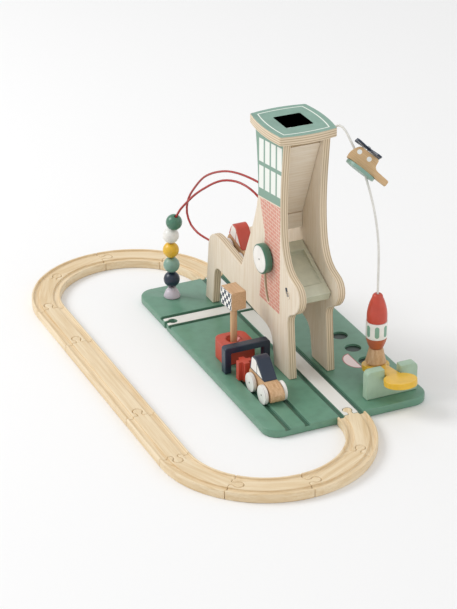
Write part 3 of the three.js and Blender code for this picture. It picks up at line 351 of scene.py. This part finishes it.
boardPrintAndShade = {
    "strip": "#e4e2dc",
    # a darker green painted on the groove and recess floors as shade
    "paintedGrooveShade": "#3c6351",
    "spot": "#1b2f27",
    "pink": "#f1dcdb",
    "pinkLine": "#b9696a",
    "stripHalf": 10.0 * mm,
    "crossX": -112 * mm,
    "floor": 9.3 * mm,
    "sliceX": 94 * mm,
    "sliceY": 69.5 * mm,
    "sliceHalf": 21 * mm,
    "sliceDeep": 16 * mm,
    "sliceRims": ((1.0, 0.0, "pinkLine"), (0.86, -0.07, "pink")),  # size, top edge and colour
    "top": 11.2 * mm,
    "recess": 5 * mm,
    "spotsX": (5 * mm, 115 * mm),
    "spotsY": (70 * mm, 96 * mm),
}


# the board's green paint, with white strips between the grooves, painted shade darkening the floors of the grooves
# and recesses, near-black recess floors and a pink slice
def boardPaint():
    material, tree = startMaterial("satin paint, printed board, painted groove shade")
    p = boardPrintAndShade
    colour, place = paintColour(tree, "sage green")
    x, y, z = (lineOf(tree, axis) for axis in ((1, 0, 0), (0, 1, 0), (0, 0, 1)))
    top = between(tree, z, p["top"], 1)
    main = between(tree, y, -p["stripHalf"], p["stripHalf"], 0.1 * mm)
    cross = between(tree, x, p["crossX"] - p["stripHalf"], p["crossX"] + p["stripHalf"], 0.1 * mm)
    road = addNode(tree, "Math", {0: main, 1: cross}, operation="MAXIMUM")
    colour = blendColours(tree, allOf(tree, top, road), colour, linear(p["strip"]))
    # painted shade: the floors sunk below the top, in the grooves and the round recesses, are painted a darker
    # green where shade falls
    low = between(tree, z, p["recess"], p["floor"], 0.2 * mm)
    up = facing(tree, (0, 0, 1))
    colour = blendColours(tree, allOf(tree, low, up), colour, linear(p["paintedGrooveShade"]))
    spots = allOf(tree, low, up, between(tree, y, *p["spotsY"]), between(tree, x, *p["spotsX"]))
    colour = blendColours(tree, spots, colour, linear(p["spot"]))
    across = addNode(tree, "Math", {0: x, 1: p["sliceX"]}, operation="SUBTRACT")
    across = addNode(tree, "Math", {0: across, 1: p["sliceHalf"]}, operation="DIVIDE")
    down = addNode(tree, "Math", {0: y, 1: p["sliceY"]}, operation="SUBTRACT")
    down = addNode(tree, "Math", {0: down, 1: p["sliceDeep"]}, operation="DIVIDE")
    squared = [addNode(tree, "Math", {0: side, 1: 2.0}, operation="POWER") for side in (across, down)]
    square = addNode(tree, "Math", {0: squared[0], 1: squared[1]}, operation="ADD")
    for reach, edge, shade in p["sliceRims"]:
        inside = between(tree, square, -1, reach, 0.02)
        below = between(tree, down, -2, edge, 0.01)
        colour = blendColours(tree, allOf(tree, up, top, inside, below), colour, linear(p[shade]))
    paintFinish(tree, colour, place, 0.36)
    return material


padPrint = {
    "line": "#eef4ea",
    "insetX": 36.5 * mm,
    "insetY": 31 * mm,
    "width": 0.8 * mm,
    "middle": 42 * mm,
    "bow": 2.6,  # how fast the line curves in
    "bulge": 4 * mm,
    "top": 344 * mm,
}


# the helipad: sage paint with a white inset line on top, and bare plywood round the edge
def helipadPaint():
    material, tree = startMaterial("satin paint on birch plywood, helipad")
    p = padPrint
    ply, streak = plyColour(tree, zAxis, "x")
    colour, place = paintColour(tree, "dusty green")
    x = addNode(tree, "Math", {0: lineOf(tree, (1, 0, 0), -p["middle"])}, operation="ABSOLUTE")
    y = addNode(tree, "Math", {0: lineOf(tree, (0, 1, 0))}, operation="ABSOLUTE")
    # both sides of the line bow outwards like the plate's own edge
    bows = []
    for side, other, inset in ((x, y, p["insetX"]), (y, x, p["insetY"])):
        square = addNode(tree, "Math", {0: other, 1: other}, operation="MULTIPLY")
        bow = addNode(tree, "Math", {0: square, 1: p["bow"], 2: side}, operation="MULTIPLY_ADD")
        bows.append(addNode(tree, "Math", {0: bow, 1: inset + p["bulge"]}, operation="SUBTRACT"))
    reach = addNode(tree, "Math", {0: bows[0], 1: bows[1]}, operation="MAXIMUM")
    line = between(tree, reach, -p["width"], p["width"], 0.2 * mm)
    colour = blendColours(tree, line, colour, linear(p["line"]))
    high = between(tree, lineOf(tree, (0, 0, 1)), p["top"], 1)
    painted = allOf(tree, facing(tree, (0, 0, 1), 0.85), high)
    finishMaterial(tree, blendColours(tree, painted, ply, colour), 0.45, streak, 0.03)
    return material


# wire dipped in enamel: a hard, glossy coat with a faint drawn texture
def enamelWire(name, hexColour):
    material, tree = startMaterial(name)
    place = addNode(tree, "TexCoord", out=3)
    noise = addNode(tree, "TexNoise", {"Vector": place, "Scale": 1 / (3 * mm), "Detail": 2.0})
    colour = linear(hexColour)
    deep = (*[c * 0.8 for c in colour[:3]], 1)
    share = addNode(tree, "MapRange", {"Value": noise, "From Min": 0.4, "From Max": 0.8})
    gloss = addNode(tree, "MapRange", {"Value": noise, "To Min": 0.18, "To Max": 0.34})
    finishMaterial(tree, blendColours(tree, share, colour, deep), gloss, noise, 0.02, IOR=1.52)
    return material


# zinc-plated steel pin, drawn and cut: bright with fine scratches
def platedSteel():
    material, tree = startMaterial("zinc plated steel")
    place = addNode(tree, "TexCoord", out=3)
    noise = addNode(tree, "TexNoise", {"Vector": place, "Scale": 1 / (0.5 * mm), "Detail": 4.0})
    colour = blendColours(tree, noise, linear("#d4d6d6"), linear("#a9adb0"))
    gloss = addNode(tree, "MapRange", {"Value": noise, "To Min": 0.2, "To Max": 0.42})
    finishMaterial(tree, colour, gloss, noise, 0.01, Metallic=1.0)
    return material


checkPrint = {"square": 5.5 * mm, "dark": "#2b3a4e", "pale": "#f2f1ec"}


# the mallet's head is beech, with a chequered flag printed on one long side
def chequeredBeech():
    material, tree = startMaterial("beech, chequered")
    fine = fibres(tree, "x", 1.2 * mm)
    share = addNode(tree, "MapRange", {"Value": fine, "From Min": 0.35, "From Max": 0.75})
    wood = blendColours(tree, share, linear(woods["beech"][0]), linear(woods["beech"][1]))
    place = addNode(tree, "TexCoord", out=3)
    checks = addNode(tree, "TexChecker", {
        "Vector": place, "Scale": 1 / checkPrint["square"],
        "Color1": linear(checkPrint["dark"]), "Color2": linear(checkPrint["pale"]),
    })
    printed = facing(tree, (0, -1, 0), 0.8)
    finishMaterial(tree, blendColours(tree, printed, wood, checks), 0.5, fine, 0.05)
    return material


portholes = {
    "shade": "#7fa893",
    "band": 14 * mm,  # radius of the band
    "count": 7,
    "straight": 5.2 * mm,  # half the straight part of each oval
    "half": 2.9 * mm,
}


# white paint band with sage portholes, spaced round the rocket
def portholePaint():
    material, tree = startMaterial("satin paint, rocket band")
    base, place = paintColour(tree, "white")
    x, y, z = addNode(tree, "SeparateXYZ", {"Vector": place}).node.outputs
    angle = addNode(tree, "Math", {0: y, 1: x}, operation="ARCTAN2")
    travel = addNode(tree, "Math", {0: angle, 1: portholes["band"]}, operation="MULTIPLY")
    pitch = 2 * math.pi * portholes["band"] / portholes["count"]
    inPitch = addNode(tree, "Math", {0: travel, 1: pitch}, operation="FLOORED_MODULO")
    aside = addNode(tree, "Math", {0: inPitch, 1: pitch / 2}, operation="SUBTRACT")
    height = addNode(tree, "Math", {0: z}, operation="ABSOLUTE")
    beyond = addNode(tree, "Math", {0: height, 1: portholes["straight"]}, operation="SUBTRACT")
    beyond = addNode(tree, "Math", {0: beyond, 1: 0.0}, operation="MAXIMUM")
    beyond = addNode(tree, "Math", {0: beyond, 1: beyond}, operation="MULTIPLY")
    square = addNode(tree, "Math", {0: aside, 1: aside, 2: beyond}, operation="MULTIPLY_ADD")
    distance = addNode(tree, "Math", {0: square}, operation="SQRT")
    oval = between(tree, distance, -1, portholes["half"], 0.15 * mm)
    colour = blendColours(tree, oval, base, linear(portholes["shade"]))
    paintFinish(tree, colour, place, 0.4)
    return material


cabinPrint = {
    "glass": "#f3f1ec",
    "sill": 29.3 * mm,
    "head": 46.8 * mm,
    "screen": (13 * mm, 27.3 * mm, 23 / 26),  # x and z at the foot of the windscreen, and its slope
    "screenFrame": 3.2 * mm,
    "tailX": -27.5 * mm,
    "tailLean": 0.2,
    "pillarX": -9 * mm,
    "pillarHalf": 0.7 * mm,
}


# a cabin painted one colour, with white side windows split by a narrow pillar
def cabinPaint(shade):
    material, tree = startMaterial("satin paint, cabin " + shade)
    base, place = paintColour(tree, shade)
    normal = addNode(tree, "TexCoord", out=1)
    turn = addNode(tree, "VectorMath", {0: normal, 1: (0, 1, 0)}, out=1, operation="DOT_PRODUCT")
    size = addNode(tree, "Math", {0: turn}, operation="ABSOLUTE")
    side = addNode(tree, "Math", {0: size, 1: 0.8}, operation="GREATER_THAN")
    p = cabinPrint
    footX, footZ, rake = p["screen"]
    screen = lineOf(tree, (rake, 0, 1), -(rake * footX + footZ))
    pillar = addNode(tree, "Math", {0: lineOf(tree, (1, 0, 0), -p["pillarX"])}, operation="ABSOLUTE")
    panes = allOf(
        tree, side, between(tree, lineOf(tree, (0, 0, 1)), p["sill"], p["head"]),
        between(tree, screen, -1, -p["screenFrame"]),
        between(tree, lineOf(tree, (1, 0, -p["tailLean"])), p["tailX"] * (1 + p["tailLean"]), 1),
        between(tree, pillar, p["pillarHalf"], 1),
    )
    colour = blendColours(tree, panes, base, linear(p["glass"]))
    paintFinish(tree, colour, place, 0.4)
    return material


# a white painted wheel or knob face with the dark end of its axle showing in the middle;
# plane has a 1 for each of the two axes that the round face lies in
def hubPaint(name, plane, dot):
    material, tree = startMaterial(name)
    base, place = paintColour(tree, "white")
    flat = addNode(tree, "VectorMath", {0: place, 1: plane}, operation="MULTIPLY")
    radius = addNode(tree, "VectorMath", {0: flat}, out=1, operation="LENGTH")
    hub = between(tree, radius, -1, dot, 0.15 * mm)
    colour = blendColours(tree, hub, base, linear("#4b4740"))
    paintFinish(tree, colour, place, 0.4)
    return material


finishes = {shade: paint(shade) for shade in paints}
finishes["board"] = boardPaint()
finishes["wall"] = printedPlywood()
finishes["helipad"] = helipadPaint()
finishes["ply y"] = plywood("birch plywood, standing", yAxis, "z")
finishes["ply x"] = plywood("birch plywood, crosswise", xAxis, "y")
finishes["ply z"] = plywood("birch plywood, lying", zAxis, "x")
finishes["pine"] = solidWood("pine, lacquered", "pine", "x", 0.46)
finishes["beech x"] = solidWood("beech, long", "beech", "x")
finishes["beech y"] = solidWood("beech, crosswise", "beech", "y")
finishes["beech z"] = solidWood("beech, turned", "beech", "z")
finishes["red wire"] = enamelWire("red enamelled wire", "#a82a24")
finishes["white wire"] = enamelWire("white enamelled wire", "#e6e5df")
finishes["steel"] = platedSteel()
finishes["chequered"] = chequeredBeech()
finishes["porthole"] = portholePaint()
print("materials made")


def addPiece(name, mesh, finish, body, standsFor, place=None):
    piece = bpy.data.objects.new(name, mesh)
    bpy.context.scene.collection.objects.link(piece)
    mesh.materials.clear()
    mesh.materials.append(finishes[finish] if isinstance(finish, str) else finish)
    if place is not None:
        piece.matrix_world = place
    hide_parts(standsFor)
    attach(piece, body)
    return piece


rounding = {"steps": 2, "angle": 28}
lathe = {"steps": 64, "edge": 0.4 * mm, "angle": 32}


def roundEdges(piece, width, angle):
    bevel = piece.modifiers.new("edges", "BEVEL")
    bevel.width = width
    bevel.segments = rounding["steps"]
    bevel.limit_method = "ANGLE"
    bevel.angle_limit = math.radians(angle)
    bevel.use_clamp_overlap = False
    bevel.harden_normals = True
    bevel.miter_outer = "MITER_ARC"


bodyOf = {node: body for body, nodes in frame["record"]["behaviour"]["bodies"].items() for node in nodes}


# shades a shape smooth, with a crease wherever two faces meet at more than an angle in degrees
def shadeFaces(shape, angle):
    bmesh.ops.recalc_face_normals(shape, faces=shape.faces)
    for face in shape.faces:
        face.smooth = True
    for seam in shape.edges:
        seam.smooth = seam.calc_face_angle(0.0) < math.radians(angle)


# makes a finished shape the piece that stands for a node, with its edges rounded
def standIn(node, shape, finish, place, edge, angle):
    mesh = bpy.data.meshes.new(node + "_made")
    shape.to_mesh(mesh)
    shape.free()
    piece = addPiece(node + "_made", mesh, finish, bodyOf[node], node, place)
    if edge:
        roundEdges(piece, edge, angle)


# the machined solid of a node, welded, its flat faces joined and its long edges rounded over
def machined(node, finish, edge, place=None, angle=rounding["angle"]):
    shape = bmesh.new()
    shape.from_mesh(frame["nodes"][node].data)
    bmesh.ops.remove_doubles(shape, verts=shape.verts, dist=0.004 * mm)
    bmesh.ops.dissolve_limit(
        shape, angle_limit=math.radians(0.8), verts=shape.verts, edges=shape.edges,
        use_dissolve_boundaries=False,
    )
    shadeFaces(shape, angle)
    if place is not None:
        shape.transform(place.inverted())
    standIn(node, shape, finish, place, edge, angle)


# a piece turned on a lathe about z, then tipped if its axle lies another way in its own frame:
# profile points are (radius, height) in millimetres
def turned(node, profile, finish, place, tip=None):
    shape = bmesh.new()
    turns = [2 * math.pi * i / lathe["steps"] for i in range(lathe["steps"])]
    rings = []
    for radius, height in profile:
        if radius == 0:
            rings.append([shape.verts.new((0, 0, height * mm))])
            continue
        ring = [(radius * mm * math.cos(turn), radius * mm * math.sin(turn), height * mm) for turn in turns]
        rings.append([shape.verts.new(point) for point in ring])
    pairs = list(zip(rings, rings[1:]))
    if profile[0][0] > 0:
        pairs.append((rings[-1], rings[0]))
    for low, high in pairs:
        for i in range(lathe["steps"]):
            j = (i + 1) % lathe["steps"]
            corners = [low[i % len(low)], low[j % len(low)], high[j % len(high)], high[i % len(high)]]
            unique = list(dict.fromkeys(corners))
            if len(unique) > 2:
                shape.faces.new(unique)
    shadeFaces(shape, lathe["angle"])
    if tip is not None:
        shape.transform(tip)
    standIn(node, shape, finish, place, lathe["edge"], lathe["angle"])


# a place whose local z runs along a direction
def along(direction, at):
    return Matrix.Translation(at) @ Vector(direction).to_track_quat("Z", "Y").to_matrix().to_4x4()


def middleOf(node):
    low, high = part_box(node)
    return (low + high) / 2


# points of a circular arc, from one angle to another in degrees
def arc(middle, radius, start, end, steps=12):
    angles = [math.radians(start + (end - start) * i / steps) for i in range(steps + 1)]
    return [(middle[0] + radius * math.cos(a), middle[1] + radius * math.sin(a)) for a in angles]


def makeBoards():
    machined("base_board", "board", 0.5 * mm)
    machined("side_panel_left", "wall", 1.2 * mm)
    machined("side_panel_right", "ply y", 1.2 * mm)
    machined("helipad_plate", "helipad", 1.0 * mm)
    machined("shaft_board", "ply x", 0.4 * mm)
    machined("wire_block", "ply x", 0.5 * mm)
    machined("rear_board", "ply x", 0.6 * mm)
    machined("rear_ramp", "ply z", 0.4 * mm)
    machined("tipping_tray", "cream sage", 0.7 * mm)
    machined("tray_dowel", "wall", 0.3 * mm)


track = {"endX": 216 * mm, "loopY": -121 * mm, "edge": 1.3 * mm}  # middles of the loop's two ends


# each loose rail gets its own upright frame, so its grain runs along it
def makeTrack():
    for node in frame["nodes"]:
        if "curve" not in node and "straight" not in node:
            continue
        low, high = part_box(node)
        middle = (low + high) / 2
        if "straight" in node:
            turn = 0.0
        else:
            side = 1 if node.startswith("front") else -1
            loopMiddle = Vector((side * track["endX"], track["loopY"], middle.z))
            outward = middle - loopMiddle
            turn = math.atan2(outward.x, -outward.y)
        place = Matrix.Translation(middle) @ Matrix.Rotation(turn, 4, "Z")
        machined(node, "pine", track["edge"], place)


wires = {"bead_wire": "red wire", "loop_wire": "red wire", "flight_wire": "white wire"}


def makeWires():
    for node, finish in wires.items():
        machined(node, finish, 0, angle=60)


beads = {
    "radius": 11.3,
    "bore": 2.3,
    "lip": 0.5,
    "shades": {
        "navy": "navy", "sage": "dusty green", "yellow": "yellow", "white": "white", "green": "deep green",
    },
    "bend": (0.1, 0.03, 0),  # how much further than its neighbour the top bead leans
}


def makeBeads():
    start = math.degrees(math.asin((beads["bore"] + beads["lip"]) / beads["radius"]))
    outside = arc((0, 0), beads["radius"], -90 + start, 90 - start, 32)
    top = outside[-1][1]
    profile = [(beads["bore"], -top + beads["lip"]), *outside, (beads["bore"], top - beads["lip"])]
    middles = {name: middleOf("bead_" + name) for name in beads["shades"]}
    for name, shade in beads["shades"].items():
        leaning = zAxis
        if name == "green":  # the top bead has reached the bend
            leaning = (middles["green"] - middles["white"]).normalized() + Vector(beads["bend"])
        turned("bead_" + name, profile, shade, along(leaning, middles[name]))
    low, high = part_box("bead_base")
    foot = Vector(((low.x + high.x) / 2, (low.y + high.y) / 2, low.z))
    tall = (high.z - low.z) / mm
    flare = arc((12.6, tall + 0.6), 7.4, 190, 236, 10)
    rim = [(2, 0), (11, 0), (11.5, 0.6), (11.5, 2.6), (11.1, 3.6)]
    base = [*rim, *reversed(flare), (5.6, tall), (2, tall)]
    turned("bead_base", base, "lavender", Matrix.Translation(foot))


def makeRocket():
    def part(node, profile, finish):
        low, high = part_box(node)
        tall = (high.z - low.z) / mm
        foot = Vector(((low.x + high.x) / 2, (low.y + high.y) / 2, (low.z + high.z) / 2))
        centred = [(radius, height * tall - tall / 2) for radius, height in profile]
        turned(node, centred, finish, Matrix.Translation(foot))

    bore = 2.2
    part("rocket_stand", [(bore, 0), (12.6, 0), (13.3, 0.03), (13.5, 0.08), (13.1, 0.16), (11.4, 0.5),
                          (9.8, 0.85), (9, 1), (bore, 1)], "beech z")
    part("rocket_tail", [(bore, 0), (8.6, 0), (9.2, 0.06), (10.9, 0.3), (12.4, 0.58), (13.5, 0.86),
                         (13.9, 1), (bore, 1)], "burnt orange")
    part("rocket_band", [(bore, 0), (13.9, 0), (14, 0.03), (14, 0.97), (13.9, 1), (bore, 1)], "porthole")
    nose = [(bore, 0), (13.2, 0), (13.3, 0.02), (13.3, 0.24)]
    for i in range(1, 13):
        t = i / 12
        bend = [(1 - t) ** 2, 2 * t * (1 - t), t ** 2]
        radius = 13.3 * bend[0] + 12.3 * bend[1] + 7.2 * bend[2]
        nose.append((radius, 0.24 * bend[0] + 0.58 * bend[1] + 0.86 * bend[2]))
    nose += [(6.8, 0.92), (5.8, 0.965), (4.2, 0.995), (3.2, 1), (bore, 0.99)]
    part("rocket_nose", nose, "red")


def makeLauncher():
    machined("lever_bracket", "mint", 1.2 * mm)
    machined("launch_lever", "yellow", 0.9 * mm)
    machined("lever_pin", "steel", 0)


knobParts = {
    "behind": -34 * mm,  # y of the knob's own frame, on the left side panel
    "dot": 1.4 * mm,
    "knob": [(0, 9), (18.3, 9), (18.4, 10), (19, 10), (19.7, 9.4), (20, 8.4), (20, 1.6), (19.6, 0.5),
             (18.6, 0), (3.3, 0), (3.3, -7), (0, -7)],
    "face": [(0, 9.3), (18, 9.3), (18, 10.2), (17.7, 10.4), (0, 10.4)],
}


def makeKnob():
    middle = middleOf("lift_knob")
    place = along((0, -1, 0), Vector((middle.x, knobParts["behind"], middle.z)))
    turned("lift_knob", knobParts["knob"], "deep green", place)
    face = hubPaint("satin paint, knob face", (1, 1, 0), knobParts["dot"])
    turned("knob_face", knobParts["face"], face, place)
    machined("lift_pin", "beech y", 0)


def makeMallet():
    low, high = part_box("mallet_handle")
    foot = Vector(((low.x + high.x) / 2, (low.y + high.y) / 2, low.z))
    tall = (high.z - low.z) / mm
    handle = [(0, 0), (3.6, 0), (4.3, 0.4), (4.6, 1.2), (4.6, tall - 1), (4, tall), (0, tall)]
    turned("mallet_handle", handle, "beech z", Matrix.Translation(foot))
    place = Matrix.Translation(middleOf("mallet_head")) @ Matrix.Rotation(math.radians(3), 4, "Z")
    machined("mallet_head", "chequered", 1.2 * mm, place)
    machined("block_holder", "red", 1.0 * mm)
    machined("wash_arch", "navy", 1.0 * mm)
    machined("wash_roller", "red", 0.9 * mm)
    machined("roller_pin", "beech z", 0.4 * mm)


cars = {
    "shades": {"front_car": "navy", "ramp_car": "red"},
    "axleHeight": 13 * mm,
    "dot": 1.3 * mm,
    "wheel": [(0, 16), (11.8, 16), (12.6, 15.8), (13, 15.2), (13, 11.8), (12.7, 11.2), (12.2, 11), (2, 11)],
}


# a car's own frame: its origin is on the road under the middle, and x points to the nose
def carFrame(name):
    nose = Vector(joints[name + "_nose_spin"]["pos_m"])
    tail = Vector(joints[name + "_tail_spin"]["pos_m"])
    forward = (nose - tail).normalized()
    up = forward.cross(yAxis)
    turn = Matrix((forward, yAxis, up)).transposed().to_4x4()
    return Matrix.Translation((nose + tail) / 2 - up * cars["axleHeight"]) @ turn


def makeCars():
    wheel = hubPaint("satin paint, wheel", (1, 0, 1), cars["dot"])
    pair = cars["wheel"] + [(radius, -across) for radius, across in reversed(cars["wheel"])]
    sideways = Matrix.Rotation(math.pi / 2, 4, "X")
    for name, shade in cars["shades"].items():
        place = carFrame(name)
        machined(name + "_body", "beech x", 1.0 * mm, place)
        machined(name + "_cabin", cabinPaint(shade), 0.9 * mm, place)
        for end, joint in (("front", "_nose_spin"), ("rear", "_tail_spin")):
            hub = Matrix.Translation(Vector(joints[name + joint]["pos_m"]))
            turned(f"{name}_{end}_wheels", pair, wheel, hub, sideways)


helicopter = {
    "wood": ("#d9b98d", "#b98f60"),
    "glass": "#eef1ee",
    "window": 3.1 * mm,
    "windowX": (-8.5 * mm, 6.5 * mm),
    "windowZ": 14.5 * mm,
    "hubHeight": 23 * mm,
}


# the helicopter's own frame: the rotor's axis is local z, and the nose points along local x
def helicopterFrame():
    axis = Vector(joints["rotor_spin"]["axis"]).normalized()
    hub = Vector(joints["rotor_spin"]["pos_m"])
    reach = middleOf("helicopter_disc") - hub
    nose = -(reach - axis * reach.dot(axis)).normalized()
    left = axis.cross(nose)
    turn = Matrix((nose, left, axis)).transposed().to_4x4()
    return Matrix.Translation(hub - axis * helicopter["hubHeight"]) @ turn


# the helicopter's body is beech, streaked along its length, with round white windows printed on
def windowedBeech():
    material, tree = startMaterial("beech, helicopter")
    fine = fibres(tree, "x", 1.2 * mm)
    share = addNode(tree, "MapRange", {"Value": fine, "From Min": 0.35, "From Max": 0.8})
    pale, dark = (linear(shade) for shade in helicopter["wood"])
    wood = blendColours(tree, share, pale, dark)
    place = addNode(tree, "TexCoord", out=3)
    for windowX in helicopter["windowX"]:
        middle = (windowX, 0, helicopter["windowZ"])
        away = addNode(tree, "VectorMath", {0: place, 1: middle}, operation="SUBTRACT")
        flat = addNode(tree, "VectorMath", {0: away, 1: (1, 0, 1)}, operation="MULTIPLY")
        radius = addNode(tree, "VectorMath", {0: flat}, out=1, operation="LENGTH")
        window = between(tree, radius, -1, helicopter["window"], 0.15 * mm)
        wood = blendColours(tree, window, wood, linear(helicopter["glass"]))
    finishMaterial(tree, wood, 0.5, fine, 0.05)
    return material


def makeHelicopter():
    place = helicopterFrame()
    machined("helicopter_body", windowedBeech(), 0.9 * mm, place)
    machined("helicopter_disc", "dusty green", 0.8 * mm, place)
    machined("helicopter_rotor", "navy", 0.5 * mm, place)
    machined("rotor_pin", "steel", 0)


# each lamp has its power, its size and its place
studio = {
    "floor": "#f4f4f4",
    "half": 9,  # half the side of the floor, in metres
    "key": (52.0, 1.6, (-1.4, -2.2, 2.3)),
    "fill": (16.0, 2.6, (2.6, 1.8, 1.6)),
    "sky": 0.74,
}


def makeStudio():
    mesh = bpy.data.meshes.new("floor")
    half = studio["half"]
    corners = [(-half, -half, 0), (half, -half, 0), (half, half, 0), (-half, half, 0)]
    mesh.from_pydata(corners, [], [(0, 1, 2, 3)])
    floor = bpy.data.objects.new("floor", mesh)
    bpy.context.scene.collection.objects.link(floor)
    material, tree = startMaterial("matt paper")  # soft, with no shine of its own
    shader = addNode(tree, "BsdfPrincipled", {"Base Color": linear(studio["floor"]), "Roughness": 0.9})
    addNode(tree, "OutputMaterial", {"Surface": shader})
    mesh.materials.append(material)
    for name in ("key", "fill"):
        power, size, at = studio[name]
        data = bpy.data.lights.new(name, "AREA")
        data.energy = power
        data.size = size
        lamp = bpy.data.objects.new(name, data)
        lamp.location = at
        lamp.rotation_euler = (-Vector(at)).to_track_quat("-Z", "Y").to_euler()
        bpy.context.scene.collection.objects.link(lamp)
    world = bpy.data.worlds.new("studio")
    world.use_nodes = True
    background = world.node_tree.nodes["Background"]
    background.inputs[0].default_value = (1, 1, 1, 1)
    background.inputs[1].default_value = studio["sky"]
    bpy.context.scene.world = world
    bpy.context.scene.view_settings.view_transform = "Standard"


makeBoards()
print("boards made")
makeTrack()
print("track made")
makeWires()
makeBeads()
print("wires and beads made")
makeRocket()
makeLauncher()
makeKnob()
print("rocket, launcher and knob made")
makeMallet()
makeCars()
makeHelicopter()
print("mallet, cars and helicopter made")
makeStudio()
bpy.context.view_layer.update()
